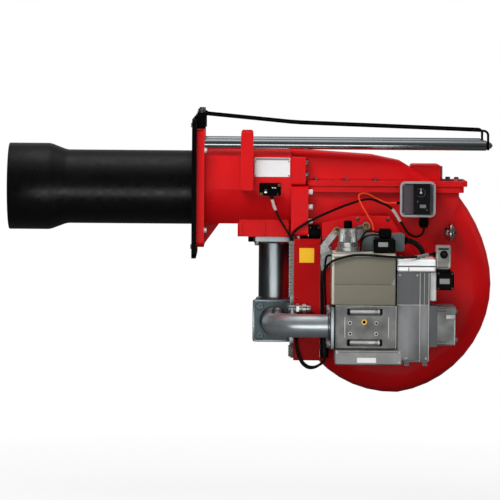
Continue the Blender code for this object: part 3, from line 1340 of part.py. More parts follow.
def gas_elbow():
    """The pipe bend from the block to the valve, with its collar and its square flange."""
    start = -ELBOW_BLOCK_FRONT - SEAT
    bend_x = RISER_X + ELBOW_BEND
    bend_y = start - ELBOW_STRAIGHT
    route = [(RISER_X, start, GAS_Z)]
    for step in range(ELBOW_STEPS + 1):
        angle = math.pi / 2 * step / ELBOW_STEPS
        route.append((bend_x - ELBOW_BEND * math.cos(angle), bend_y - ELBOW_BEND * math.sin(angle), GAS_Z))
    flange_x = bend_x + ELBOW_RUN
    route.append((flange_x + VALVE_FLANGE_THICK / 2, GAS_Y, GAS_Z))
    pipe = tube_solid("gas_elbow", route, ELBOW_RADIUS, 6)
    half = VALVE_FLANGE_HALF
    boss_x = NIPPLE_X - NIPPLE_BOSS_LENGTH / 2
    fuse(pipe,
         cylinder("elbow_collar", "Y", (start - ELBOW_COLLAR_THICK, start), (RISER_X, GAS_Z),
                  ELBOW_COLLAR_RADIUS),
         cylinder("nipple_boss", "X", (NIPPLE_X - NIPPLE_BOSS_LENGTH, NIPPLE_X),
                  (NIPPLE_Y, GAS_Z + NIPPLE_LIFT), NIPPLE_BOSS_RADIUS, SMALL_SIDES),
         tube_solid("nipple_root", [(boss_x, GAS_Y + ELBOW_COLLAR_THICK, GAS_Z),
                                    (boss_x, NIPPLE_Y, GAS_Z + NIPPLE_LIFT)], NIPPLE_RADIUS),
         cylinder("elbow_port", "Z", (GAS_Z, GAS_Z + PORT_TOP), (RISER_X + PORT_RUN, PORT_Y),
                  PORT_RADIUS, ROUND_SIDES, PORT_TOP_RADIUS),
         block("valve_flange", (flange_x, flange_x + VALVE_FLANGE_THICK), (GAS_Y - half, GAS_Y + half),
               (GAS_Z - half, GAS_Z + half), VALVE_FLANGE_CORNER, "X", 2))
    return finish(pipe, "zinc")


def test_nipple():
    """The pressure test point on the elbow's boss."""
    start = NIPPLE_X + SEAT
    end = start + NIPPLE_LENGTH
    nut_end = start + NIPPLE_NUT_LENGTH
    profile = [(0.0, end), (NIPPLE_TIP_RADIUS, end), (NIPPLE_RADIUS, end - NIPPLE_RADIUS),
               (NIPPLE_RADIUS, nut_end), (NIPPLE_NUT_RADIUS, nut_end), (NIPPLE_NUT_RADIUS, start),
               (0.0, start)]
    nipple = turned("test_nipple", "X", profile, (NIPPLE_Y, GAS_Z + NIPPLE_LIFT), SMALL_SIDES)
    return finish(nipple, "chrome")


def valve_body():
    """The valve block, with the long screw pockets along its front edges."""
    front = GAS_Y - VALVE_HALF_DEPTH
    body = block("valve_body", (VALVE_X, VALVE_X + VALVE_LENGTH), (front, GAS_Y + VALVE_HALF_DEPTH),
                 (VALVE_FLOOR, VALVE_CEILING), VALVE_ROUND, None, 1)
    pocket_x = VALVE_X + POCKET_INSET
    low_pocket = VALVE_FLOOR + POCKET_EDGE
    high_pocket = VALVE_CEILING - POCKET_EDGE - POCKET_HEIGHT
    for pocket_z in (low_pocket, high_pocket):
        carve(body, block("screw_pocket", (pocket_x, pocket_x + POCKET_LENGTH),
                          (front - OVERRUN, front + POCKET_DEPTH),
                          (pocket_z, pocket_z + POCKET_HEIGHT), POCKET_EDGE / 2, "Y", 2))
    return finish(body, "aluminium")


def valve_base():
    base = block("valve_base", (VALVE_X, VALVE_X + BASE_LENGTH),
                 (GAS_Y - BASE_HALF_DEPTH, GAS_Y + BASE_HALF_DEPTH),
                 (BASE_TOP - BASE_HEIGHT, BASE_TOP), BASE_ROUND, None, 1)
    return finish(base, "aluminium")


def coil_housing():
    coil = block("coil_housing", (COIL_X, COIL_X + COIL_LENGTH),
                 (GAS_Y - VALVE_HALF_DEPTH, GAS_Y + VALVE_HALF_DEPTH), (COIL_FLOOR, COIL_TOP),
                 COIL_ROUND, None, 2)
    return finish(coil, "beige")


def brake_base():
    step = ON_COIL + BRAKE_BASE_HEIGHT
    top = step + BRAKE_COLLAR_HEIGHT
    profile = [(0.0, top), (BRAKE_COLLAR_RADIUS, top), (BRAKE_COLLAR_RADIUS, step),
               (BRAKE_BASE_RADIUS, step), (BRAKE_BASE_RADIUS, ON_COIL), (0.0, ON_COIL)]
    return finish(turned("brake_base", "Z", profile, (BRAKE_X, BRAKE_Y), ROUND_SIDES), "zinc")


def grooved_outline(radius, groove, count):
    """A round outline with a groove between every two lands."""
    points = []
    for number in range(count * 4):
        share = 0 if number % 4 in (0, 1) else 1
        angle = math.tau * number / (count * 4)
        reach = radius - groove * share
        points.append((reach * math.cos(angle), reach * math.sin(angle)))
    return points


def flow_knob():
    """The grooved knob of the hydraulic brake, with the black cap on it."""
    floor = ON_COIL + BRAKE_BASE_HEIGHT + BRAKE_COLLAR_HEIGHT + SEAT
    top = floor + KNOB_HEIGHT
    outline = [(BRAKE_X + x, BRAKE_Y + y)
               for x, y in grooved_outline(KNOB_RADIUS, KNOB_GROOVE, KNOB_GROOVE_COUNT)]
    knob = prism("flow_knob", "Z", outline, (floor, top))
    cap_floor = top + SEAT
    cap_top = cap_floor + CAP_HEIGHT
    profile = [(0.0, cap_top), (CAP_RADIUS - KNOB_CHAMFER, cap_top), (CAP_RADIUS, cap_top - KNOB_CHAMFER),
               (CAP_RADIUS, cap_floor), (0.0, cap_floor)]
    cap = turned("knob_cap", "Z", profile, (BRAKE_X, BRAKE_Y), ROUND_SIDES)
    hang(axle("knob_axis", (BRAKE_X, BRAKE_Y, 0.0)), knob, cap)
    return finish(knob, "zinc"), finish(cap, "black plastic")


def wiring_box():
    back = GAS_Y + VALVE_HALF_DEPTH - COIL_ROUND
    box = block("wiring_box", (WIRING_BOX_X, WIRING_BOX_X + WIRING_BOX_LENGTH),
                (back - WIRING_BOX_DEPTH, back), (ON_COIL, ON_COIL + WIRING_BOX_HEIGHT),
                WIRING_BOX_ROUND, None, 1)
    return finish(box, "box grey")


def low_switch():
    """The gas pressure switch on the coil housing, and the plug on its top."""
    front = GAS_Y - VALVE_HALF_DEPTH + COIL_ROUND
    top = ON_COIL + LOW_SWITCH_HEIGHT
    switch = block("gas_switch_low", (LOW_SWITCH_X, LOW_SWITCH_X + LOW_SWITCH_LENGTH),
                   (front, front + LOW_SWITCH_DEPTH), (ON_COIL, top), LOW_SWITCH_ROUND, None, 1)
    plug_x = LOW_SWITCH_X + PLUG_INSET
    plug_y = front + LOW_SWITCH_DEPTH / 2
    plug = block("wiring_plug", (plug_x, plug_x + PLUG_LENGTH),
                 (plug_y - PLUG_DEPTH / 2, plug_y + PLUG_DEPTH / 2),
                 (top + SEAT, top + SEAT + PLUG_HEIGHT), PLUG_ROUND, None, 1)
    return finish(switch, "black plastic"), finish(plug, "black plastic")


def regulator_body():
    """The pressure regulator's casting, stepped round the valve's base, with two feet."""
    half = REGULATOR_HALF_DEPTH
    right = REGULATOR_X + REGULATOR_LENGTH
    depth = (GAS_Y - half, GAS_Y + half)
    floor = GAS_Z - REGULATOR_DROP
    body = block("regulator_body", (REGULATOR_X, right), depth,
                 (VALVE_FLOOR + SEAT, REGULATOR_TOP), REGULATOR_ROUND, "Y", 2)
    low_x = VALVE_X + BASE_LENGTH + SEAT
    hip = (right - REGULATOR_HIP_LENGTH + REGULATOR_HIP_OUT, right + REGULATOR_HIP_OUT)
    fuse(body,
         block("regulator_lower", (low_x, right - SEAT), (depth[0] + SEAT, depth[1] - SEAT),
               (floor, VALVE_FLOOR + REGULATOR_ROUND * 3), REGULATOR_ROUND, "Y", 2),
         block("regulator_hip", hip, (depth[0] + REGULATOR_ROUND, depth[1] - REGULATOR_ROUND),
               (GAS_Z - REGULATOR_HIP_DROP, GAS_Z + REGULATOR_HIP_RISE), REGULATOR_ROUND, "Y", 2))
    for foot_x in (low_x + REGULATOR_ROUND, right - REGULATOR_ROUND - REGULATOR_FOOT_LENGTH):
        fuse(body, block("regulator_foot", (foot_x, foot_x + REGULATOR_FOOT_LENGTH),
                         (depth[0] + REGULATOR_ROUND, depth[0] + REGULATOR_ROUND * 4),
                         (floor - REGULATOR_FOOT_DROP, floor + REGULATOR_ROUND)))
    return finish(body, "grey metal")


def regulator_bar():
    floor = REGULATOR_TOP + SEAT
    bar = block("regulator_bar", (REGULATOR_X, REGULATOR_X + BAR_CAP_LENGTH),
                (GAS_Y - BAR_CAP_HALF_DEPTH, GAS_Y + BAR_CAP_HALF_DEPTH),
                (floor, floor + BAR_CAP_HEIGHT), BAR_CAP_ROUND, None, 1)
    return finish(bar, "grey metal")


def inlet_flange():
    """The slotted end piece with the gas inlet bore."""
    right = INLET_X + INLET_LENGTH
    front = GAS_Y - INLET_HALF_DEPTH
    top = GAS_Z + INLET_RISE
    floor = GAS_Z - INLET_DROP
    end = block("inlet_flange", (INLET_X, right), (front, GAS_Y + INLET_HALF_DEPTH), (floor, top),
                REGULATOR_ROUND, "X", 2)
    carve(end, cylinder("inlet_bore", "X", (right - INLET_BORE_DEPTH, right + OVERRUN),
                        (GAS_Y, GAS_Z + (INLET_RISE - INLET_DROP) / 2), INLET_BORE_RADIUS))
    for edge, heading in ((top, -1), (floor, 1)):
        for number in range(2):
            middle = edge + heading * INLET_SLOT_STEP * (number + 0.5)
            carve(end, block("inlet_slot", (INLET_X - OVERRUN, INLET_X + INLET_SLOT_LENGTH),
                             (front - OVERRUN, front + INLET_SLOT_DEPTH),
                             (middle - INLET_SLOT_HEIGHT / 2, middle + INLET_SLOT_HEIGHT / 2)))
    return finish(end, "aluminium")


def high_switch():
    """The second pressure switch on its bracket, and the square plug on its top."""
    left = REGULATOR_X + REGULATOR_LENGTH + SEAT
    right = left + SWITCH_BRACKET_LENGTH
    top = REGULATOR_TOP
    y = (SWITCH_BRACKET_Y - SWITCH_BRACKET_DEPTH / 2, SWITCH_BRACKET_Y + SWITCH_BRACKET_DEPTH / 2)
    bracket = block("switch_bracket", (left, right), y, (top - SWITCH_BRACKET_HEIGHT, top),
                    HIGH_SWITCH_ROUND / 2, None, 1)
    switch_x = right + SEAT
    y = (SWITCH_BRACKET_Y - HIGH_SWITCH_DEPTH / 2, SWITCH_BRACKET_Y + HIGH_SWITCH_DEPTH / 2)
    switch = block("gas_switch_high", (switch_x, switch_x + HIGH_SWITCH_LENGTH), y,
                   (top - HIGH_SWITCH_HEIGHT, top), HIGH_SWITCH_ROUND, None, 1)
    plug_x = REGULATOR_X + BAR_CAP_LENGTH + SEAT
    floor = top + SEAT
    y = (SWITCH_BRACKET_Y - DIN_DEPTH / 2, SWITCH_BRACKET_Y + DIN_DEPTH / 2)
    neck = floor + DIN_NECK_HEIGHT
    plug = block("din_plug", (plug_x, plug_x + DIN_LENGTH), y, (neck, neck + DIN_HEIGHT), DIN_ROUND, None, 2)
    fuse(plug, block("din_neck", (plug_x + DIN_NECK_INSET, plug_x + DIN_LENGTH - DIN_NECK_INSET),
                     (y[0] + DIN_NECK_INSET, y[1] - DIN_NECK_INSET), (floor, neck + DIN_ROUND)))
    return finish(bracket, "steel"), finish(switch, "black plastic"), finish(plug, "grey plastic")


def air_switch():
    """The air pressure switch: its base, the clear cover and the dial under it."""
    half = AIR_SWITCH_HALF - AIR_SWITCH_BODY_INSET
    body = block("air_switch_body", (AIR_SWITCH_X - half, AIR_SWITCH_X + half),
                 (AIR_SWITCH_FRONT, AIR_SWITCH_BACK), (AIR_SWITCH_Z - half, AIR_SWITCH_Z + half),
                 AIR_SWITCH_CORNER, "Y", 3)
    panel_x = AIR_SWITCH_X + PANEL_INSET_X
    gland_top = AIR_SWITCH_Z - half
    fuse(body,
         block("switch_panel", (panel_x - PANEL_LENGTH / 2, panel_x + PANEL_LENGTH / 2),
               (AIR_SWITCH_FRONT - PANEL_REACH, AIR_SWITCH_FRONT + PANEL_REACH),
               (AIR_SWITCH_Z - PANEL_HEIGHT / 2, AIR_SWITCH_Z + PANEL_HEIGHT / 2)),
         cylinder("switch_gland", "Z", (gland_top - AIR_GLAND_LENGTH, gland_top + AIR_GLAND_RADIUS),
                  (AIR_SWITCH_X + AIR_GLAND_RUN, AIR_GLAND_Y), AIR_GLAND_RADIUS, SMALL_SIDES))
    cover_back = AIR_SWITCH_FRONT - SEAT
    cover_face = cover_back - AIR_SWITCH_COVER_DEPTH
    cover = block("air_switch_cover", (AIR_SWITCH_X - AIR_SWITCH_HALF, AIR_SWITCH_X + AIR_SWITCH_HALF),
                  (cover_face, cover_back),
                  (AIR_SWITCH_Z - AIR_SWITCH_HALF, AIR_SWITCH_Z + AIR_SWITCH_HALF),
                  AIR_SWITCH_CORNER, "Y", 3)
    inner = AIR_SWITCH_HALF - AIR_SWITCH_COVER_WALL
    carve(cover, block("switch_inside", (AIR_SWITCH_X - inner, AIR_SWITCH_X + inner),
                       (cover_face + AIR_SWITCH_COVER_WALL, cover_back + OVERRUN),
                       (AIR_SWITCH_Z - inner, AIR_SWITCH_Z + inner),
                       AIR_SWITCH_CORNER - AIR_SWITCH_COVER_WALL, "Y", 3))
    dial_back = AIR_SWITCH_FRONT - PANEL_REACH - SEAT
    dial_place = (AIR_SWITCH_X + DIAL_RUN, AIR_SWITCH_Z + DIAL_RISE)
    dial = cylinder("air_switch_dial", "Y", (dial_back - DIAL_THICK, dial_back), dial_place, DIAL_RADIUS)
    hang(axle("dial_axis", (dial_place[0], 0.0, dial_place[1])), dial)
    return finish(body, "black plastic"), finish(cover, "clear plastic"), finish(dial, "dial")


def eye_bolt():
    """The lifting eye on the scroll's near face, its ring edge-on to the tube's axis."""
    x = FAN_X + LIFT_RUN
    z = FAN_Z + LIFT_RISE
    back = FAN_FACE - SEAT
    collar_face = back - LIFT_COLLAR_THICK
    ring_y = collar_face - LIFT_RING_RADIUS - LIFT_RING_GAP + LIFT_RING_THICK
    collar = cylinder("eye_bolt", "Y", (collar_face, back), (x, z), LIFT_COLLAR_RADIUS)
    ring_steps = 14
    points = []
    for step in range(ring_steps):
        angle = math.tau * step / ring_steps
        points.append((x, ring_y + LIFT_RING_RADIUS * math.cos(angle),
                       z + LIFT_RING_RADIUS * math.sin(angle)))
    fuse(collar,
         closed_ring("lift_ring", points, LIFT_RING_THICK),
         cylinder("lift_neck", "Y", (ring_y + LIFT_RING_RADIUS - LIFT_RING_THICK, back - SEAT),
                  (x, z), LIFT_NECK_RADIUS, SMALL_SIDES))
    return finish(collar, "chrome")


def closed_ring(name, points, radius):
    """A round ring through a closed list of points, as a mesh."""
    path = tube(name + "_path", points, radius)
    path.data.splines[0].use_cyclic_u = True
    mesh = solid_mesh(path, name)
    return placed(name, shaded(mesh), Vector((0.0, 0.0, 0.0)))


def blade_outline(angle):
    """One forward curved blade, as a thin arc between the eye and the rim."""
    steps = 2
    outer = []
    inner = []
    for step in range(steps + 1):
        share = step / steps
        radius = IMPELLER_EYE_RADIUS + (IMPELLER_RADIUS - BLADE_THICK - IMPELLER_EYE_RADIUS) * share
        turn = angle - BLADE_SWEEP * share ** 2
        half_turn = BLADE_THICK / radius / 2
        for edge, turned_to in ((outer, turn + half_turn), (inner, turn - half_turn)):
            edge.append((FAN_X + radius * math.cos(turned_to), FAN_Z + radius * math.sin(turned_to)))
    return outer + list(reversed(inner))


def fan_impeller():
    """The impeller: a back plate with its hub, curved blades and a front ring."""
    back = IMPELLER_BACK
    plate_front = back - IMPELLER_PLATE
    hub_front = plate_front - HUB_LENGTH
    bore = SHAFT_RADIUS + SEAT
    profile = [(HUB_RADIUS, back), (IMPELLER_RADIUS, back), (IMPELLER_RADIUS, plate_front),
               (HUB_RADIUS, plate_front), (HUB_RADIUS, hub_front), (bore, hub_front), (bore, back)]
    wheel = turned("fan_impeller", "Y", profile, (FAN_X, FAN_Z), ROUND_SIDES, hollow=True)
    ring_profile = [(IMPELLER_RADIUS, IMPELLER_PLATE - IMPELLER_FRONT), (IMPELLER_RADIUS, -IMPELLER_FRONT),
                    (IMPELLER_EYE_RADIUS, -IMPELLER_FRONT),
                    (IMPELLER_EYE_RADIUS, IMPELLER_PLATE - IMPELLER_FRONT)]
    for number in range(BLADE_COUNT):
        angle = math.tau * number / BLADE_COUNT
        fuse(wheel, prism("blade", "Y", blade_outline(angle),
                          (IMPELLER_PLATE / 2 - IMPELLER_FRONT, plate_front + IMPELLER_PLATE / 2)))
    fuse(wheel, turned("front_ring", "Y", ring_profile, (FAN_X, FAN_Z), ROUND_SIDES, hollow=True))
    shaft = cylinder("motor_shaft", "Y", (back - SHAFT_TIP, SHAFT_REACH), (FAN_X, FAN_Z), SHAFT_RADIUS)
    hang(axle("fan_axis", (FAN_X, 0.0, FAN_Z)), wheel, shaft)
    return finish(wheel, "zinc"), finish(shaft, "steel")


def motor_plate():
    """The round plate that closes the back of the scroll and carries the motor."""
    face = -FAN_FACE + SEAT
    plate = cylinder("motor_plate", "Y", (face, face + MOTOR_PLATE_THICK), (FAN_X, FAN_Z),
                     MOTOR_PLATE_RADIUS, BIG_SIDES)
    carve(plate, cylinder("plate_bore", "Y", (face - OVERRUN, face + OVERRUN * 2), (FAN_X, FAN_Z),
                          SHAFT_RADIUS + RUNNING))
    return finish(plate, "red paint")


def motor_body():
    """The finned motor, with its round mounting bell."""
    face = -FAN_FACE + SEAT + MOTOR_PLATE_THICK + SEAT
    end = face + MOTOR_LENGTH
    fins = [(FAN_X + x, FAN_Z + z) for x, z in
            grooved_outline(MOTOR_RADIUS + MOTOR_FIN_HEIGHT, MOTOR_FIN_HEIGHT, MOTOR_FIN_COUNT)]
    body = prism("motor_body", "Y", fins, (face + MOTOR_BELL_THICK / 2, end))
    fuse(body, cylinder("motor_bell", "Y", (face, face + MOTOR_BELL_THICK), (FAN_X, FAN_Z),
                        MOTOR_BELL_RADIUS, BIG_SIDES))
    carve(body, cylinder("shaft_bore", "Y", (face - OVERRUN, SHAFT_REACH + SEAT), (FAN_X, FAN_Z),
                         SHAFT_RADIUS + SEAT))
    return finish(body, "aluminium")


def motor_cowl():
    """The cowl over the motor's own fan, with air slots in its end."""
    start = -FAN_FACE + SEAT + MOTOR_PLATE_THICK + SEAT + MOTOR_LENGTH + SEAT
    end = start + COWL_LENGTH
    radius = MOTOR_RADIUS + MOTOR_FIN_HEIGHT
    profile = [(0.0, end), (radius - COWL_EDGE, end), (radius, end - COWL_EDGE), (radius, start),
               (radius - COWL_WALL, start), (radius - COWL_EDGE, end - COWL_WALL), (0.0, end - COWL_WALL)]
    cowl = turned("motor_cowl", "Y", profile, (FAN_X, FAN_Z), ROUND_SIDES)
    reach = radius - COWL_EDGE * 2
    for number in range(COWL_SLOT_COUNT):
        middle = (number - (COWL_SLOT_COUNT - 1) / 2) * COWL_SLOT_HALF_WIDTH * 4
        half = math.sqrt(reach ** 2 - middle ** 2)
        carve(cowl, block("cowl_slot", (FAN_X - half, FAN_X + half), (end - OVERRUN, end + OVERRUN),
                          (FAN_Z + middle - COWL_SLOT_HALF_WIDTH, FAN_Z + middle + COWL_SLOT_HALF_WIDTH)))
    return finish(cowl, "black paint")


def motor_terminal_box():
    face = -FAN_FACE + SEAT + MOTOR_PLATE_THICK + SEAT
    middle = face + MOTOR_LENGTH / 2
    floor = FAN_Z + MOTOR_RADIUS + MOTOR_FIN_HEIGHT + SEAT
    box = block("motor_terminal_box", (FAN_X - TERMINAL_HALF_LENGTH, FAN_X + TERMINAL_HALF_LENGTH),
                (middle - TERMINAL_HALF_WIDTH, middle + TERMINAL_HALF_WIDTH),
                (floor, floor + TERMINAL_HEIGHT), TERMINAL_ROUND, None, 1)
    return finish(box, "grey metal")


def gas_nozzle():
    """The gas pipe inside the neck: up from the boss, then along the tube to the head."""
    floor = -NECK_BOTTOM - BOSS_DROP + SEAT
    route = [(RISER_X, 0.0, floor)]
    for step in range(NOZZLE_STEPS + 1):
        angle = math.pi / 2 * step / NOZZLE_STEPS
        route.append((RISER_X - NOZZLE_BEND * (1 - math.cos(angle)), 0.0,
                      NOZZLE_BEND * (math.sin(angle) - 1)))
    route.append((-NOZZLE_TIP, 0.0, 0.0))
    pipe = tube_solid("gas_nozzle", route, NOZZLE_RADIUS, 4)
    fuse(pipe, cylinder("nozzle_collar", "Z", (floor, floor + NOZZLE_COLLAR_THICK), (RISER_X, 0.0),
                        GAS_BORE_RADIUS - SEAT))
    return finish(pipe, "steel")


def diffuser_disc():
    """The flame disc round the nozzle, with its rim and swirl slots."""
    front = -DIFFUSER_PLACE
    back = front + DIFFUSER_THICK
    bore = NOZZLE_RADIUS + SEAT
    rim = back + DIFFUSER_RIM
    profile = [(DIFFUSER_RADIUS, rim), (DIFFUSER_RADIUS, front), (bore, front), (bore, back),
               (DIFFUSER_RADIUS - DIFFUSER_THICK, back), (DIFFUSER_RADIUS - DIFFUSER_THICK, rim)]
    disc = turned("diffuser_disc", "X", profile, (0.0, 0.0), ROUND_SIDES, hollow=True)
    for number in range(DIFFUSER_SLOT_COUNT):
        angle = math.tau * (number + 0.5) / DIFFUSER_SLOT_COUNT
        slot = block("swirl_slot", (front - OVERRUN, back + OVERRUN / 2),
                     (DIFFUSER_SLOT_INNER, DIFFUSER_SLOT_OUTER),
                     (-DIFFUSER_SLOT_HALF_WIDTH, DIFFUSER_SLOT_HALF_WIDTH))
        reach = slot.location.y
        slot.location = (slot.location.x, reach * math.cos(angle), reach * math.sin(angle))
        slot.rotation_euler = (angle, 0.0, 0.0)
        carve(disc, slot)
    carve(disc, cylinder("electrode_hole", "X", (front - OVERRUN, back + OVERRUN),
                         (ELECTRODE_Y, ELECTRODE_Z), ELECTRODE_RADIUS + SEAT, SMALL_SIDES))
    return finish(disc, "steel")


def ignition_electrode():
    rod = cylinder("ignition_electrode", "X", (-ELECTRODE_TIP, ELECTRODE_TAIL),
                   (ELECTRODE_Y, ELECTRODE_Z), ELECTRODE_RADIUS, SMALL_SIDES)
    return finish(rod, "ceramic")


def loop_route():
    """The loop under the servo's cover: down from the cover's front face and up into the sleeve."""
    sleeve_floor = SLEEVE_TOP - SLEEVE_LENGTH - SEAT
    floor = min(SERVO_COVER_BOTTOM, sleeve_floor - LOOP_CABLE_GAP)
    places = [(SERVO_COVER_X + run, SERVO_COVER_FACE - reach, floor + rise)
              for run, reach, rise in LOOP_CABLE_ROUTE]
    return ([(places[0][0], SERVO_COVER_FACE - SEAT, places[0][2])] + places
            + [(SLEEVE_X, SLEEVE_Y, sleeve_floor - LOOP_CABLE_GAP), (SLEEVE_X, SLEEVE_Y, sleeve_floor)])


def cables():
    black = "black plastic"
    table = [
        ("sensor_cable", SENSOR_CABLE_ROUTE, SENSOR_CABLE_RADIUS, ROUTE_STEP, black),
        ("air_switch_cable", AIR_CABLE_ROUTE, AIR_CABLE_RADIUS, LONG_STEP, black),
        ("pressure_tube", PRESSURE_TUBE_ROUTE, PRESSURE_TUBE_RADIUS, ROUTE_STEP, "orange tube"),
        ("din_cable", DIN_CABLE_ROUTE, DIN_CABLE_RADIUS, LONG_STEP, black),
        ("coil_cable", COIL_CABLE_ROUTE, COIL_CABLE_RADIUS, LONG_STEP, black),
        ("loop_cable", loop_route(), LOOP_CABLE_RADIUS, SHORT_STEP, black),
        ("conduit", CONDUIT_ROUTE, CONDUIT_RADIUS, ROUTE_STEP, black),
    ]
    for name, route, radius, step, colour in table:
        finish(tube(name, smooth_route(route, step), radius), colour)
    sleeve = cylinder("cable_sleeve", "Z", (SLEEVE_TOP - SLEEVE_LENGTH, SLEEVE_TOP),
                      (SLEEVE_X, SLEEVE_Y), SLEEVE_RADIUS, SMALL_SIDES)
    finish(sleeve, "black plastic")


mounting_plate()
blast_tube()
for bar_suffix, bar_side in (("near", -1), ("far", 1)):
    slide_bar("slide_bar_" + bar_suffix, bar_side)
    tie_rod("tie_rod_" + bar_suffix, bar_side)
head_housing()
flame_sensor()
fan_housing()
top_cover()
cover_bracket()
intake_box()
air_damper()
servo_bracket()
servo_motor()
servo_cam()
link_rod()
servo_cover()
terminal_comb()
cover_gland()
gas_riser()
gas_elbow_block()
gas_elbow()
test_nipple()
valve_body()
valve_base()
coil_housing()
brake_base()
flow_knob()
wiring_box()
low_switch()
regulator_body()
regulator_bar()
inlet_flange()
high_switch()
air_switch()
eye_bolt()
fan_impeller()
motor_plate()
motor_body()
motor_cowl()
motor_terminal_box()
gas_nozzle()
diffuser_disc()
ignition_electrode()
cables()
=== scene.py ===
"""Dressed scene of the gas burner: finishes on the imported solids, finer turned and bent pieces,
fasteners, leads, the camera and the light.  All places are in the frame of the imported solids, in metres."""
import math

import bmesh
import bpy
from mathutils import Matrix, Vector


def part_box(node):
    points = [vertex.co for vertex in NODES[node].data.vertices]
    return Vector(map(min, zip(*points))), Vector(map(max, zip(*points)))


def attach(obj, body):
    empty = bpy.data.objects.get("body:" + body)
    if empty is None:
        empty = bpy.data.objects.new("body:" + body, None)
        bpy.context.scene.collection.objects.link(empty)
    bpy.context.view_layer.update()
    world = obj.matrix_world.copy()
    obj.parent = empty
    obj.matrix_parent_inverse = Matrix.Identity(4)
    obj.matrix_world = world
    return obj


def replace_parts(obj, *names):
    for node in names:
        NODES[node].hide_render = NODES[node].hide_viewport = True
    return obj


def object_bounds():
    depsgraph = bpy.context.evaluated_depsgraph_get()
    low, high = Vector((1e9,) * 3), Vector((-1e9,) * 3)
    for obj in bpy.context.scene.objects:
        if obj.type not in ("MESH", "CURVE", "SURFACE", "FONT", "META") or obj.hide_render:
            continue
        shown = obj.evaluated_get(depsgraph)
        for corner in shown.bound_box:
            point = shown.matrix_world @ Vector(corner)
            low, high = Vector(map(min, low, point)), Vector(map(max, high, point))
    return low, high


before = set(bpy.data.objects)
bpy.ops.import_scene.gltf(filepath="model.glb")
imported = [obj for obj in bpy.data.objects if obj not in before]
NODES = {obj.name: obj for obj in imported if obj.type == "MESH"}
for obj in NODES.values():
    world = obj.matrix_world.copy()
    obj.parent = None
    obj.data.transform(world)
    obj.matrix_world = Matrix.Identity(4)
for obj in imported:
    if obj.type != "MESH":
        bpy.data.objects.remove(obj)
cad_low, cad_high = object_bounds()
BODY = "burner_body"
UNDER = "boiler_side"
SIDES = (-1, 1)
MM = 0.001
AMBIENT = 0.13


# ---- finishes ---------------------------------------------------------------------------------
def ramp(tree, source, low, high, to_low=0.0, to_high=1.0):
    node = tree.nodes.new("ShaderNodeMapRange")
    node.inputs["From Min"].default_value = low
    node.inputs["From Max"].default_value = high
    node.inputs["To Min"].default_value = to_low
    node.inputs["To Max"].default_value = to_high
    tree.links.new(source, node.inputs["Value"])
    return node.outputs["Result"]


def noise(tree, coords, scale, detail=3.0, stretch=None):
    node = tree.nodes.new("ShaderNodeTexNoise")
    node.inputs["Scale"].default_value = scale
    node.inputs["Detail"].default_value = detail
    if stretch is not None:
        mapping = tree.nodes.new("ShaderNodeMapping")
        mapping.inputs["Scale"].default_value = stretch
        tree.links.new(coords, mapping.inputs["Vector"])
        coords = mapping.outputs["Vector"]
    tree.links.new(coords, node.inputs["Vector"])
    return node.outputs["Fac"]


def blend_colour(tree, factor, first, second):
    node = tree.nodes.new("ShaderNodeMix")
    node.data_type = "RGBA"
    for value, socket in ((factor, 0), (first, 6), (second, 7)):
        if isinstance(value, tuple):
            node.inputs[socket].default_value = (*value[:3], 1.0)
        else:
            tree.links.new(value, node.inputs[socket])
    return node.outputs[2]


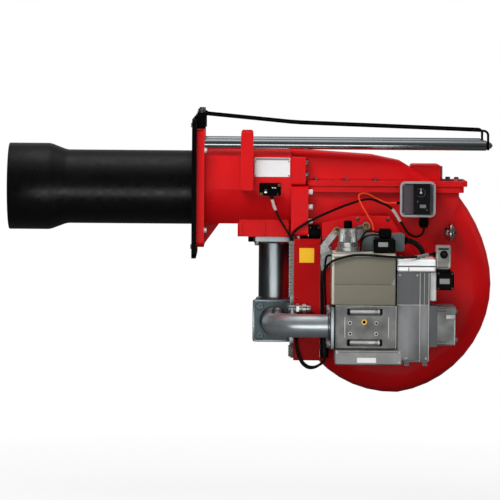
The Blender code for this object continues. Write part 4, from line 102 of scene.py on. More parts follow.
def finish(name, base, rough, metal=0.0, tone=0.12, patch=9.0, grain=0.12, grain_size=700.0,
           rough_swing=0.08, stretch=None, worn=None, worn_share=0.5, corner_shade=0.25, coat=0.0,
           alpha=1.0, specular=0.5, streak=0.0):
    """A procedural finish: slow colour patches, worn edges, painted shade in the corners, grain and gloss swing."""
    material = bpy.data.materials.new(name)
    material.use_nodes = True
    tree = material.node_tree
    shader = tree.nodes["Principled BSDF"]
    coords = tree.nodes.new("ShaderNodeTexCoord").outputs["Object"]
    slow = noise(tree, coords, patch, 4.0, stretch)
    fine = noise(tree, coords, grain_size, 2.0, stretch)
    dark = tuple(c * (1 - tone) for c in base)
    light = tuple(min(1.0, c * (1 + tone)) for c in base)
    colour = blend_colour(tree, ramp(tree, slow, 0.35, 0.65), dark, light)
    if streak > 0:
        lines = noise(tree, coords, 60.0, 3.0, (1.0, 1.0, 0.04))
        colour = blend_colour(tree, ramp(tree, lines, 0.45, 0.75, 0.0, streak), colour,
                              tuple(c * 0.45 for c in base))
    # Painted shade: the colour is darkened where ambient occlusion finds corners, creases and hollows.
    if corner_shade > 0:
        shade_occlusion = tree.nodes.new("ShaderNodeAmbientOcclusion")
        shade_occlusion.samples = 4
        shade_occlusion.inputs["Distance"].default_value = 0.014
        low = ramp(tree, shade_occlusion.outputs["AO"], 0.25, 0.75, corner_shade, 0.0)
        colour = blend_colour(tree, low, colour, tuple(c * 0.25 for c in base))
    if worn is not None:
        rounded = tree.nodes.new("ShaderNodeBevel")
        rounded.samples = 4
        rounded.inputs["Radius"].default_value = 0.0014
        flat = tree.nodes.new("ShaderNodeNewGeometry")
        meet = tree.nodes.new("ShaderNodeVectorMath")
        meet.operation = "DOT_PRODUCT"
        tree.links.new(rounded.outputs["Normal"], meet.inputs[0])
        tree.links.new(flat.outputs["Normal"], meet.inputs[1])
        edge = ramp(tree, meet.outputs["Value"], 0.97, 0.80, 0.0, worn_share)
        broken = tree.nodes.new("ShaderNodeMath")
        broken.operation = "MULTIPLY"
        tree.links.new(edge, broken.inputs[0])
        tree.links.new(ramp(tree, noise(tree, coords, 130.0, 3.0), 0.40, 0.60, 0.35, 1.0), broken.inputs[1])
        colour = blend_colour(tree, broken.outputs[0], colour, worn)
    tree.links.new(colour, shader.inputs["Base Color"])
    tree.links.new(ramp(tree, noise(tree, coords, patch * 4, 5.0, stretch), 0.3, 0.7,
                        max(0.03, rough - rough_swing), min(1.0, rough + rough_swing)),
                   shader.inputs["Roughness"])
    bump = tree.nodes.new("ShaderNodeBump")
    bump.inputs["Strength"].default_value = grain
    bump.inputs["Distance"].default_value = 0.0002
    tree.links.new(fine, bump.inputs["Height"])
    tree.links.new(bump.outputs["Normal"], shader.inputs["Normal"])
    shader.inputs["Metallic"].default_value = metal
    shader.inputs["Coat Weight"].default_value = coat
    shader.inputs["Coat Roughness"].default_value = 0.12
    shader.inputs["Alpha"].default_value = alpha
    shader.inputs["Specular IOR Level"].default_value = specular
    return material


RED = finish("red enamel", (0.60, 0.0058, 0.0082), 0.38, tone=0.07, patch=5.0, grain=0.16, grain_size=330.0,
             worn=(0.88, 0.085, 0.055), worn_share=0.75, corner_shade=0.55, specular=0.11)
RED_SHEET = finish("red sheet enamel", (0.40, 0.0028, 0.0040), 0.36, tone=0.05, patch=4.0, grain=0.05,
                   worn=(0.88, 0.10, 0.07), worn_share=0.7, corner_shade=0.45, specular=0.04)
BLACK_PAINT = finish("black enamel", (0.0014, 0.0014, 0.0015), 0.40, tone=0.2, grain=0.14, grain_size=900.0,
                     worn=(0.022, 0.022, 0.022), worn_share=0.6, corner_shade=0.0, specular=0.05)
TUBE_BLACK = finish("heatproof black", (0.0016, 0.0011, 0.0013), 0.32, tone=0.25, patch=14.0,
                    grain=0.18, grain_size=520.0, worn=(0.020, 0.018, 0.018), worn_share=0.5, corner_shade=0.0,
                    specular=0.42)
ZINC = finish("zinc plate", (0.42, 0.47, 0.49), 0.31, metal=1.0, tone=0.12, patch=16.0, grain=0.10,
              rough_swing=0.04, stretch=(1.0, 1.0, 0.35), worn=(0.75, 0.78, 0.8), worn_share=0.4, corner_shade=0.6)
PIPE_ZINC = finish("zinc pipe", (0.74, 0.81, 0.85), 0.34, metal=0.9, tone=0.08, patch=9.0, grain=0.06,
                   rough_swing=0.03, corner_shade=0.5)
BAR_STEEL = finish("ground bar", (0.50, 0.54, 0.56), 0.15, metal=1.0, tone=0.12, patch=30.0, grain=0.10,
                   grain_size=260.0, stretch=(0.05, 1.0, 1.0), rough_swing=0.03, corner_shade=0.0)
BRIGHT = finish("bright steel", (0.72, 0.73, 0.72), 0.22, metal=1.0, tone=0.15, patch=60.0, grain=0.08, corner_shade=0.6)
BOLT = finish("zinc fasteners", (0.42, 0.43, 0.43), 0.33, metal=1.0, tone=0.3, patch=110.0, grain=0.1, corner_shade=0.6)
PALE_BOLT = finish("pale screws", (0.85, 0.80, 0.77), 0.35, metal=0.35, tone=0.12, patch=110.0, corner_shade=0.5)
CAST = finish("cast aluminium", (0.180, 0.184, 0.178), 0.48, metal=0.45, tone=0.30, patch=30.0, grain=0.5,
              grain_size=420.0, worn=(0.60, 0.59, 0.56), worn_share=0.85, corner_shade=0.6)
CAST_LIGHT = finish("light casting", (0.55, 0.55, 0.54), 0.4, metal=0.45, tone=0.14, patch=18.0, grain=0.3,
                    grain_size=420.0, worn=(0.85, 0.85, 0.84), worn_share=0.7, corner_shade=0.6)
CAST_BLUE = finish("plated casting", (0.050, 0.082, 0.090), 0.36, metal=0.35, tone=0.25, patch=14.0, grain=0.25,
                   grain_size=380.0, worn=(0.60, 0.66, 0.68), worn_share=0.9, corner_shade=0.6)
REGULATOR = finish("regulator casting", (0.100, 0.104, 0.110), 0.40, metal=0.45, tone=0.2, patch=11.0, grain=0.3,
                   stretch=(1.0, 1.0, 0.4), worn=(0.55, 0.56, 0.56), worn_share=0.9, corner_shade=0.5, streak=0.35)
BEIGE = finish("beige cover", (0.182, 0.170, 0.128), 0.42, tone=0.03, patch=6.0, grain=0.06, grain_size=900.0,
               worn=(0.42, 0.40, 0.33), worn_share=0.6, corner_shade=0.35, specular=0.25)
PALE_TOP = finish("pale cover top", (0.56, 0.54, 0.47), 0.4, tone=0.05, grain=0.05, corner_shade=0.2, specular=0.3)
BOX_GREY = finish("box grey", (0.085, 0.105, 0.108), 0.4, tone=0.06, grain=0.08, worn=(0.3, 0.34, 0.34),
                  corner_shade=0.3, specular=0.3)
PLUG_GREY = finish("plug grey", (0.22, 0.215, 0.20), 0.42, tone=0.08, grain=0.12, worn=(0.66, 0.66, 0.64),
                   worn_share=0.8, corner_shade=0.5, specular=0.3)
BLACK = finish("black moulding", (0.0012, 0.0012, 0.0014), 0.38, tone=0.2, grain=0.12, grain_size=1100.0,
               worn=(0.022, 0.022, 0.022), worn_share=0.6, corner_shade=0.0, specular=0.05)
RUBBER = finish("black sheath", (0.0040, 0.0036, 0.0036), 0.45, tone=0.3, patch=60.0, grain=0.15, corner_shade=0.0,
                specular=0.15)
ORANGE = finish("orange tube", (0.86, 0.060, 0.012), 0.35, tone=0.08, patch=40.0, grain=0.05, corner_shade=0.0,
                specular=0.25)
SLEEVE = finish("grey sleeve", (0.55, 0.43, 0.40), 0.5, tone=0.1, patch=80.0, grain=0.2, corner_shade=0.0)
WHITE = finish("white plastic", (0.78, 0.76, 0.74), 0.45, tone=0.05, grain=0.05, corner_shade=0.2)
YELLOW = finish("yellow foil", (0.88, 0.47, 0.012), 0.4, tone=0.05, patch=20.0, grain=0.04, corner_shade=0.0,
                specular=0.2)
SILVER = finish("silver foil", (0.84, 0.83, 0.84), 0.42, metal=0.1, tone=0.05, patch=12.0, grain=0.05, corner_shade=0.0,
                specular=0.3)
SWITCH_GREY = finish("switch grey", (0.115, 0.095, 0.110), 0.45, metal=0.1, tone=0.08, patch=25.0, grain=0.05,
                     corner_shade=0.3, specular=0.2)
FOIL_GREY = finish("grey foil", (0.26, 0.265, 0.265), 0.45, metal=0.2, tone=0.06, patch=25.0, grain=0.05,
                   corner_shade=0.0, specular=0.3)
BRASS = finish("brass", (0.52, 0.32, 0.09), 0.28, metal=1.0, tone=0.2, patch=90.0, corner_shade=0.5)
STEEL = finish("bare steel", (0.36, 0.37, 0.38), 0.34, metal=1.0, tone=0.2, patch=40.0, grain=0.1, corner_shade=0.5)
CERAMIC = finish("ceramic", (0.78, 0.76, 0.70), 0.25, tone=0.05, corner_shade=0.1)
# Painted shade: a near-black finish standing in for the shade inside slots, sockets, holes, pocket ends and the base
# seam.
GAP_SHADE = finish("painted gap shade", (0.004, 0.004, 0.004), 0.7, tone=0.2, corner_shade=0.0, specular=0.1)
BAR_CAST = finish("bright casting", (0.93, 0.95, 0.93), 0.36, metal=0.15, tone=0.08, patch=18.0, grain=0.2,
                  grain_size=420.0, worn=(0.92, 0.93, 0.92), worn_share=0.6, corner_shade=0.6)
CLEAR = finish("clear cover", (0.04, 0.04, 0.045), 0.10, tone=0.04, grain=0.03, corner_shade=0.0, alpha=0.10, specular=0.15)
RIM_CLEAR = finish("clear rim", (0.55, 0.55, 0.57), 0.2, tone=0.06, patch=40.0, grain=0.03, corner_shade=0.0, alpha=0.72,
                   specular=0.5)
DIAL_GREY = finish("dial face", (0.006, 0.0065, 0.009), 0.4, tone=0.08, grain=0.06, corner_shade=0.3, specular=0.15)
CAST_BASE = finish("base casting", (0.27, 0.27, 0.26), 0.46, metal=0.4, tone=0.18, patch=26.0, grain=0.4,
                   grain_size=420.0, worn=(0.62, 0.61, 0.58), worn_share=0.85, corner_shade=0.5)
CAST_LOW = finish("lower casting", (0.225, 0.228, 0.232), 0.42, metal=0.45, tone=0.34, patch=20.0, grain=0.35,
                  stretch=(1.0, 1.0, 0.45), worn=(0.62, 0.62, 0.62), worn_share=0.9, corner_shade=0.4, streak=0.3)
KNOB_STEEL = finish("milled knob", (0.60, 0.61, 0.59), 0.30, metal=0.9, tone=0.15, patch=60.0, grain=0.08,
                    worn=(0.8, 0.8, 0.78), worn_share=0.5, corner_shade=0.7)
LEVER_ZINC = finish("lever zinc", (0.46, 0.48, 0.47), 0.32, metal=0.8, tone=0.25, patch=45.0, grain=0.15,
                    worn=(0.75, 0.77, 0.76), worn_share=0.7, corner_shade=0.6)


# ---- shaping ----------------------------------------------------------------------------------
def smoothing_group():
    """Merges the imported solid's split points and shades it smooth up to a crease angle."""
    group = bpy.data.node_groups.new("smooth_to_crease", "GeometryNodeTree")
    group.interface.new_socket("Geometry", in_out="INPUT", socket_type="NodeSocketGeometry")
    group.interface.new_socket("Geometry", in_out="OUTPUT", socket_type="NodeSocketGeometry")
    nodes, links = group.nodes, group.links
    start = nodes.new("NodeGroupInput")
    end = nodes.new("NodeGroupOutput")
    merge = nodes.new("GeometryNodeMergeByDistance")
    merge.inputs["Distance"].default_value = 0.00002
    angle = nodes.new("GeometryNodeInputMeshEdgeAngle")
    sharp = nodes.new("FunctionNodeCompare")
    sharp.data_type = "FLOAT"
    sharp.operation = "GREATER_THAN"
    sharp.inputs[1].default_value = math.radians(34)
    crease = nodes.new("GeometryNodeSetShadeSmooth")
    crease.domain = "EDGE"
    crease.inputs["Shade Smooth"].default_value = False
    whole = nodes.new("GeometryNodeSetShadeSmooth")
    whole.domain = "FACE"
    links.new(start.outputs[0], merge.inputs["Geometry"])
    links.new(angle.outputs["Unsigned Angle"], sharp.inputs[0])
    links.new(merge.outputs["Geometry"], whole.inputs["Geometry"])
    links.new(whole.outputs["Geometry"], crease.inputs["Geometry"])
    links.new(sharp.outputs["Result"], crease.inputs["Selection"])
    links.new(crease.outputs["Geometry"], end.inputs[0])
    return group


CREASES = smoothing_group()


def dress(names, material, edge=0.8):
    """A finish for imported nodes, with their creases eased by a small edge."""
    for name in names.split():
        node = NODES[name]
        for place in node.material_slots:
            place.material = material
        node.modifiers.new("creases", "NODES").node_group = CREASES
        if edge > 0:
            bevel = node.modifiers.new("edges", "BEVEL")
            bevel.width = edge * MM
            bevel.segments = 2
            bevel.limit_method = "ANGLE"
            bevel.angle_limit = math.radians(42)
            bevel.use_clamp_overlap = True
        weighted = node.modifiers.new("flats", "WEIGHTED_NORMAL")
        weighted.keep_sharp = True


def look(place, way):
    """A turn of local Z to a direction, at a place."""
    turn = Vector(way).normalized().to_track_quat("Z", "Y").to_matrix().to_4x4()
    return Matrix.Translation(Vector(place)) @ turn


WAYS = {"X": (1, 0, 0), "Y": (0, 1, 0), "Z": (0, 0, 1)}


def spin(bm, profile, matrix, steps=32, start_angle=0.0):
    """Turns a profile of (radius, height), from the foot to the top, about local Z."""
    rings = []
    for radius, height in profile:
        if radius < 1e-7:
            rings.append([bm.verts.new(matrix @ Vector((0, 0, height)))])
            continue
        rings.append([bm.verts.new(matrix @ Vector((radius * math.cos(start_angle + math.tau * n / steps),
                                                    radius * math.sin(start_angle + math.tau * n / steps),
                                                    height))) for n in range(steps)])
    for low, high in zip(rings, rings[1:]):
        for n in range(steps):
            after = (n + 1) % steps
            if len(low) == 1 and len(high) == 1:
                continue
            if len(low) == 1:
                bm.faces.new((low[0], high[after], high[n]))
            elif len(high) == 1:
                bm.faces.new((low[n], low[after], high[0]))
            else:
                bm.faces.new((low[n], low[after], high[after], high[n]))


def piece(name, bm, material, body=BODY, crease=34):
    mesh = bpy.data.meshes.new(name)
    bmesh.ops.recalc_face_normals(bm, faces=bm.faces)
    bm.to_mesh(mesh)
    bm.free()
    mesh.shade_smooth()
    mesh.set_sharp_from_angle(angle=math.radians(crease))
    mesh.materials.append(material)
    obj = bpy.data.objects.new(name, mesh)
    bpy.context.scene.collection.objects.link(obj)
    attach(obj, body)
    return obj


def turned(name, profile, place, way, material, body=BODY, steps=64, crease=34):
    bm = bmesh.new()
    spin(bm, profile, look(place, way), steps)
    return piece(name, bm, material, body, crease)


def add_block(bm, low, high, edge=0.001, segments=2, matrix=None):
    low, high = Vector(low), Vector(high)
    made = bmesh.ops.create_cube(bm, size=1.0)["verts"]
    size = high - low
    bmesh.ops.scale(bm, vec=size, verts=made)
    bmesh.ops.translate(bm, vec=(low + high) / 2, verts=made)
    if edge > 0:
        edges = list({e for v in made for e in v.link_edges})
        out = bmesh.ops.bevel(bm, geom=edges, offset=min(edge, min(size) * 0.45), segments=segments,
                              profile=0.5, affect="EDGES", offset_type="OFFSET")
        made = list({v for v in made if v.is_valid} | set(out["verts"]))
    if matrix is not None:
        bmesh.ops.transform(bm, matrix=matrix, verts=made)


def block(name, low, high, material, body=BODY, edge=0.001, segments=2):
    bm = bmesh.new()
    add_block(bm, low, high, edge, segments)
    return piece(name, bm, material, body)


def add_outline(bm, outline, axis, low, high, edge=0.0, segments=2):
    """A flat outline, in (Y, Z), (X, Z) or (X, Y), drawn out along an axis."""
    def at(point, run):
        first, second = point
        return Vector({"X": (run, first, second), "Y": (first, run, second), "Z": (first, second, run)}[axis])
    base = [bm.verts.new(at(point, low)) for point in outline]
    top = [bm.verts.new(at(point, high)) for point in outline]
    faces = [bm.faces.new(list(reversed(base))), bm.faces.new(top)]
    for n in range(len(outline)):
        after = (n + 1) % len(outline)
        bm.faces.new((base[n], base[after], top[after], top[n]))
    if edge > 0:
        rims = list({e for face in faces for e in face.edges})
        bmesh.ops.bevel(bm, geom=rims, offset=edge, segments=segments, profile=0.5, affect="EDGES",
                        offset_type="OFFSET")


def hex_head(bm, place, way, across, height, turn=0.3):
    """A hexagon head on a washer; across is its radius at the corners."""
    spin(bm, [(0, 0), (across * 1.25, 0), (across * 1.25, height * 0.18), (0, height * 0.18)],
         look(place, way), 20)
    spin(bm, [(0, 0), (across, 0), (across, height * 0.86), (across * 0.86, height), (0, height)],
         look(place, way), 6, turn)


def cap_screw(bm, place, way, radius, height):
    """A round head with a socket."""
    spin(bm, [(0, 0), (radius, 0), (radius, height * 0.85), (radius * 0.88, height), (radius * 0.5, height)],
         look(place, way), 18)
    spin(bm, [(radius * 0.5, height), (radius * 0.5, height * 0.35), (0, height * 0.35)], look(place, way), 6)


def pan_screw(bm, place, way, radius, height):
    """A domed head with a cross recess."""
    spin(bm, [(0, 0), (radius, 0), (radius, height * 0.4), (radius * 0.8, height * 0.8),
              (radius * 0.45, height)], look(place, way), 16)
    spin(bm, [(radius * 0.45, height), (radius * 0.2, height * 0.5), (0, height * 0.5)], look(place, way), 4)


def group(name, material, makers, body=BODY):
    """Several small solids of one kind in one piece."""
    bm = bmesh.new()
    for maker, *values in makers:
        maker(bm, *values)
    return piece(name, bm, material, body)


def fine_route(points, step):
    """Even points along a smooth curve through the given points."""
    places = [Vector(p) for p in points]
    fine = []
    for index in range(len(places) - 1):
        before, start = places[max(index - 1, 0)], places[index]
        end, after = places[index + 1], places[min(index + 2, len(places) - 1)]
        for part in range(16):
            t = part / 16
            fine.append(0.5 * (2 * start + (end - before) * t + (2 * before - 5 * start + 4 * end - after) * t * t
                               + (3 * start - before - 3 * end + after) * t ** 3))
    fine.append(places[-1])
    reach = [0.0]
    for start, end in zip(fine, fine[1:]):
        reach.append(reach[-1] + (end - start).length)
    count = max(4, round(reach[-1] / step))
    route, index = [], 0
    for number in range(count + 1):
        target = reach[-1] * number / count
        while index < len(reach) - 2 and reach[index + 1] < target:
            index += 1
        share = (target - reach[index]) / max(1e-9, reach[index + 1] - reach[index])
        route.append(fine[index].lerp(fine[index + 1], share))
    return route


def tube(name, points, radius, material, body=BODY, ring=6, closed=False, taper=None):
    curve = bpy.data.curves.new(name, "CURVE")
    curve.dimensions = "3D"
    curve.bevel_depth = radius
    curve.bevel_resolution = ring
    curve.use_fill_caps = True
    spline = curve.splines.new("POLY")
    spline.points.add(len(points) - 1)
    for point, place in zip(spline.points, points):
        point.co = (*place, 1.0)
    if taper is not None:
        for point, share in zip(spline.points, taper):
            point.radius = share
    spline.use_cyclic_u = closed
    spline.use_smooth = True
    curve.materials.append(material)
    obj = bpy.data.objects.new(name, curve)
    bpy.context.scene.collection.objects.link(obj)
    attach(obj, body)
    return obj


def mid(low, high, share=0.5):
    return low + (high - low) * share


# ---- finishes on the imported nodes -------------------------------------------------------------
dress("head_housing top_cover", RED, 1.2)
dress("fan_housing intake_box motor_plate", RED, 0.9)
dress("servo_cover", RED_SHEET, 0.3)
dress("mounting_plate", BLACK_PAINT, 0.9)
dress("motor_cowl", BLACK_PAINT, 0.5)
dress("flame_sensor servo_motor gas_switch_low wiring_plug gas_switch_high knob_cap", BLACK, 0.8)
dress("air_switch_body", BLACK, 0.8)
dress("servo_bracket cover_bracket", ZINC, 0.4)
dress("air_damper", LEVER_ZINC, 0.4)
dress("switch_bracket", CAST_LIGHT, 0.6)
dress("servo_cam", LEVER_ZINC, 0.3)
dress("brake_base", KNOB_STEEL, 0.8)
dress("gas_riser", ZINC, 0.8)
dress("gas_elbow_block", CAST_BLUE, 1.2)
dress("test_nipple eye_bolt", BRIGHT, 0.6)
dress("valve_body", CAST, 0.8)
dress("valve_base", CAST_BASE, 0.8)
dress("inlet_flange", CAST, 0.8)
dress("regulator_body", REGULATOR, 1.0)
dress("regulator_bar", BAR_CAST, 0.8)
dress("motor_body", CAST_LIGHT, 0.0)
dress("motor_terminal_box", REGULATOR, 1.0)
dress("terminal_comb cover_gland", PLUG_GREY, 0.4)
dress("wiring_box", BOX_GREY, 1.0)
dress("din_plug", PLUG_GREY, 0.8)
dress("air_switch_cover", CLEAR, 0.8)
dress("air_switch_dial", DIAL_GREY, 0.8)
dress("gas_nozzle diffuser_disc motor_shaft link_rod fan_impeller", STEEL, 0.0)
dress("ignition_electrode", CERAMIC, 0.0)
dress("coil_housing", BEIGE, 0.8)
dress("slide_bar_near slide_bar_far", BAR_STEEL, 0.0)
dress("tie_rod_near tie_rod_far", BLACK_PAINT, 0.5)
dress("blast_tube", TUBE_BLACK, 0.0)
dress("gas_elbow", PIPE_ZINC, 0.5)
dress("flow_knob", KNOB_STEEL, 0.4)
dress("cable_sleeve sensor_cable air_switch_cable din_cable coil_cable loop_cable conduit", RUBBER, 0.0)
dress("pressure_tube", ORANGE, 0.0)

# ---- flame tube, slide bars and tie rods --------------------------------------------------------
TUBE_OUT, TUBE_WALL, HEAD_OUT = 0.0900, 0.0055, 0.1055
low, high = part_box("blast_tube")
MOUTH, NECK, CONE, REAR = low.x, -0.308, -0.347, high.x
tube_piece = turned("flame_tube", [
    (TUBE_OUT - TUBE_WALL, REAR), (TUBE_OUT + 0.004, REAR), (TUBE_OUT + 0.004, REAR - 0.005),
    (TUBE_OUT, REAR - 0.005), (TUBE_OUT, NECK + 0.006), (TUBE_OUT + 0.0006, NECK + 0.002),
    (TUBE_OUT + 0.002, NECK - 0.004),
    (HEAD_OUT - 0.002, CONE + 0.005), (HEAD_OUT - 0.0003, CONE - 0.002), (HEAD_OUT, CONE - 0.006),
    (HEAD_OUT, MOUTH + 0.0016), (HEAD_OUT - 0.0006, MOUTH + 0.0004), (HEAD_OUT - 0.0016, MOUTH),
    (HEAD_OUT - TUBE_WALL + 0.001, MOUTH), (HEAD_OUT - TUBE_WALL, MOUTH + 0.001),
    (HEAD_OUT - TUBE_WALL, CONE), (TUBE_OUT - TUBE_WALL, NECK), (TUBE_OUT - TUBE_WALL, REAR)],
    (0, 0, 0), (1, 0, 0), TUBE_BLACK, UNDER, 128)
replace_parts(tube_piece, "blast_tube")

for label, side in (("near", -1), ("far", 1)):
    low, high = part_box("slide_bar_" + label)
    radius, y, z = (high.y - low.y) / 2, mid(low.y, high.y), mid(low.z, high.z)
    bar = turned("bar_" + label, [
        (0, low.x), (radius - 0.002, low.x), (radius, low.x + 0.002), (radius, high.x - 0.0025),
        (radius - 0.0007, high.x - 0.0008), (radius - 0.0025, high.x), (0.004, high.x),
        (0.0025, high.x - 0.003), (0, high.x - 0.003)], (0, y, z), (1, 0, 0), BAR_STEEL, UNDER, 64)
    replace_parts(bar, "slide_bar_" + label)
    rod_low, rod_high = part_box("tie_rod_" + label)
    eye_x, eye_z, rod = 0.02175, 0.1812, 0.0030
    end_x = rod_high.x - rod - 0.0001
    corner = 0.011
    route = [Vector((0.0285, y, eye_z)), Vector((0.150, y, eye_z - 0.0110)), Vector((0.236, y, 0.1622)),
             Vector((0.266, y, 0.1603)), Vector((0.440, y, 0.1546))]
    bend_z = 0.1455
    for step in range(9):
        angle = math.pi / 2 * step / 8
        route.append(Vector((end_x - corner + corner * math.sin(angle), y,
                             bend_z - corner + corner * math.cos(angle))))
    route.append(Vector((end_x, y, 0.120)))
    route.append(Vector((end_x, y, 0.101)))
    rod_piece = tube("stay_rod_" + label, route, rod, BLACK_PAINT, UNDER, 5)
    eye = bmesh.new()
    add_block(eye, (eye_x - 0.010, y - 0.010, 0.1774), (eye_x + 0.014, y + 0.010, 0.1852), 0.0015)
    add_block(eye, (end_x - 0.0031, y - 0.009, 0.0985), (end_x + 0.0031, y + 0.009, 0.1215), 0.0022)
    eye_piece = piece("stay_ends_" + label, eye, BLACK_PAINT, UNDER)
    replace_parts(rod_piece, "tie_rod_" + label)
    bolts = bmesh.new()
    hex_head(bolts, (rod_high.x - 0.0004, y, z), (1, 0, 0), 0.0072, 0.0055)
    spin(bolts, [(0, 0), (0.0035, 0), (0.0035, 0.0085), (0, 0.0085)],
         look((rod_high.x - 0.001, y, z), (1, 0, 0)), 16)
    piece("bar_end_bolt_" + label, bolts, BOLT, UNDER)
    heads = bmesh.new()
    hex_head(heads, (eye_x, y, 0.1853), (0, 0, 1), 0.0082, 0.0088)
    piece("stay_bolt_" + label, heads, BOLT, UNDER)

# Bolts through the mounting plate and the red flange
plate_low, plate_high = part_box("mounting_plate")
flange_face = 0.030
group("flange_bolts", PALE_BOLT, [(hex_head, (flange_face, side * y, z), (1, 0, 0), 0.0062, 0.0062)
                                  for side in SIDES for y, z in ((0.1245, -0.099), (0.1265, 0.094))])
group("boss_bolts", BLACK, [(cap_screw, (0.1432, side * 0.050, -0.1170), (0, 0, -1), 0.0062, 0.0130)
                            for side in SIDES])
group("plate_studs", BOLT, [(spin, [(0, -0.004), (0.0055, -0.004), (0.0055, 0.009), (0.0045, 0.010), (0, 0.010)],
                             look((0.0015, side * 0.139, z), (1, 0, 0)), 20)
                            for side in SIDES for z in (0.155, -0.138)], UNDER)

# ---- neck: rating plate place, ribs, sensor ---------------------------------------------------
neck_y = -0.101
plate_face = neck_y - 0.0009
group("blank_plate", SILVER, [(add_block, (0.151, plate_face, 0.030), (0.237, neck_y, 0.0765), 0.0004, 1)])
group("blank_plate_band", FOIL_GREY, [(add_block, (0.1525, plate_face - 0.0003, 0.0705),
                                       (0.2355, plate_face + 0.0002, 0.0755), 0.0001, 1)])
group("blank_plate_rivets", BOLT, [(pan_screw, (x, plate_face, z), (0, -1, 0), 0.0018, 0.001)
                                   for x in (0.154, 0.234) for z in (0.033, 0.0675)])
low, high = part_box("flame_sensor")
sensor_face, base_face = low.y, high.y - 0.003
group("sensor_screws", BRASS, [(cap_screw, (x, base_face, z), (0, -1, 0), 0.0036, 0.004)
                               for x, z in ((low.x + 0.0045, low.z + 0.005), (high.x - 0.0045, high.z - 0.005))])
group("sensor_bits", BRIGHT, [
    (add_block, (low.x + 0.012, sensor_face - 0.0015, -0.0085), (low.x + 0.019, sensor_face + 0.001, 0.001), 0.0005),
    (add_block, (low.x + 0.030, sensor_face - 0.0015, 0.003), (low.x + 0.040, sensor_face + 0.001, 0.0075), 0.0005),
    (pan_screw, (low.x + 0.008, base_face, -0.0118), (0, -1, 0), 0.0026, 0.0022),
    (pan_screw, (high.x - 0.008, base_face, -0.0118), (0, -1, 0), 0.0026, 0.0022)])
group("sensor_ribs", BLACK, [(add_block, (low.x + 0.010 + n * 0.008, sensor_face - 0.002, -0.0105),
                              (low.x + 0.0125 + n * 0.008, sensor_face + 0.001, 0.0105), 0.0005)
                             for n in range(5)])

# Screws of the joint between the neck and the fan housing
group("joint_screws", PALE_BOLT, [(cap_screw, (0.2820, side * 0.100, z), (1, 0, 0), 0.0068, 0.0105)
                                  for side in SIDES for z in (-0.006, -0.042, -0.077)])
group("upper_joint_screws", BOLT, [(cap_screw, (0.2750, side * 0.0935, z), (1, 0, 0), 0.0058, 0.007)
                                   for side in SIDES for z in (0.036, 0.064)])
group("ledge_screws", BOLT, [(hex_head, (x, side * 0.083, 0.022), (0, 0, 1), 0.0058, 0.005)
                             for side in SIDES for x in (0.300, 0.372, 0.444, 0.516, 0.650)
                             if not (side < 0 and x > 0.500 and x < 0.600)])
group("motor_plate_screws", BOLT, [(hex_head, (0.460 + 0.166 * math.cos(a), 0.0793, -0.231 + 0.166 * math.sin(a)),
                                    (0, 1, 0), 0.0068, 0.006)
                                   for a in [math.tau * (n + 0.5) / 8 for n in range(8)]])
group("motor_bell_screws", BOLT, [(hex_head, (0.460 + 0.0755 * math.cos(a), 0.0936,
                                              -0.231 + 0.0755 * math.sin(a)), (0, 1, 0), 0.0046, 0.005)
                                  for a in [math.tau * (n + 0.5) / 4 for n in range(4)]])
low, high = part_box("intake_box")
group("intake_screws", BOLT, [(pan_screw, (x, -0.122, z), (0, -1, 0), 0.0046, 0.003)
                              for x, z in ((0.3225, -0.120), (0.3225, -0.330), (0.355, -0.3845), (0.485, -0.3845),
                                           (0.5405, -0.300), (0.5405, -0.180), (0.474, -0.070), (0.400, -0.070))])

# ---- air pressure switch ------------------------------------------------------------------------
low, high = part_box("air_switch_cover")
outline = []
corner, wall = 0.0125, 0.0052
for inset, back in ((0.0, False), (wall, True)):
    ring = []
    for cx, cz, start in ((high.x, high.z, 0), (low.x, high.z, 1), (low.x, low.z, 2), (high.x, low.z, 3)):
        centre_x = cx - corner if start in (0, 3) else cx + corner
        centre_z = cz - corner if start in (0, 1) else cz + corner
        for step in range(6):
            angle = math.pi / 2 * (start + step / 5)
            ring.append((centre_x + (corner - inset) * math.cos(angle), centre_z + (corner - inset) * math.sin(angle)))
    outline.append(ring)
rim = bmesh.new()
outer = [[rim.verts.new((x, y, z)) for x, z in outline[0]] for y in (high.y - 0.0085, high.y - 0.0002)]
inner = [[rim.verts.new((x, y, z)) for x, z in outline[1]] for y in (high.y - 0.0085, high.y - 0.0002)]
count = len(outline[0])
for n in range(count):
    after = (n + 1) % count
    rim.faces.new((outer[0][n], outer[0][after], outer[1][after], outer[1][n]))
    rim.faces.new((inner[0][n], inner[1][n], inner[1][after], inner[0][after]))
    rim.faces.new((outer[0][n], inner[0][n], inner[0][after], outer[0][after]))
    rim.faces.new((outer[1][n], outer[1][after], inner[1][after], inner[1][n]))
for vert in rim.verts:
    vert.co.x = mid(low.x, high.x) + (vert.co.x - mid(low.x, high.x)) * 1.006
    vert.co.z = mid(low.z, high.z) + (vert.co.z - mid(low.z, high.z)) * 1.006
piece("switch_cover_rim", rim, RIM_CLEAR)
group("switch_cover_screws", BRIGHT, [(pan_screw, (x, low.y, z), (0, -1, 0), 0.0030, 0.0016)
                                      for x in (low.x + 0.0085, high.x - 0.0085)
                                      for z in (low.z + 0.0085, high.z - 0.0085)])
face = -0.1553
group("switch_inner", SWITCH_GREY, [
    (add_block, (0.5055, -0.1425, -0.056), (0.5345, -0.1402, 0.0165), 0.001),
    (add_block, (0.5735, -0.1425, -0.056), (0.5825, -0.1402, 0.0165), 0.001)])
dial_x, dial_z = 0.551, -0.003
dial = bmesh.new()
spin(dial, [(0, 0.0012), (0.0060, 0.0012), (0.0066, 0.0006), (0.0118, 0.0006), (0.0122, 0), (0.0122, -0.001)],
     look((dial_x, -0.1626, dial_z), (0, -1, 0)), 40)
piece("dial_ring", dial, BLACK, "dial")
mark = bmesh.new()
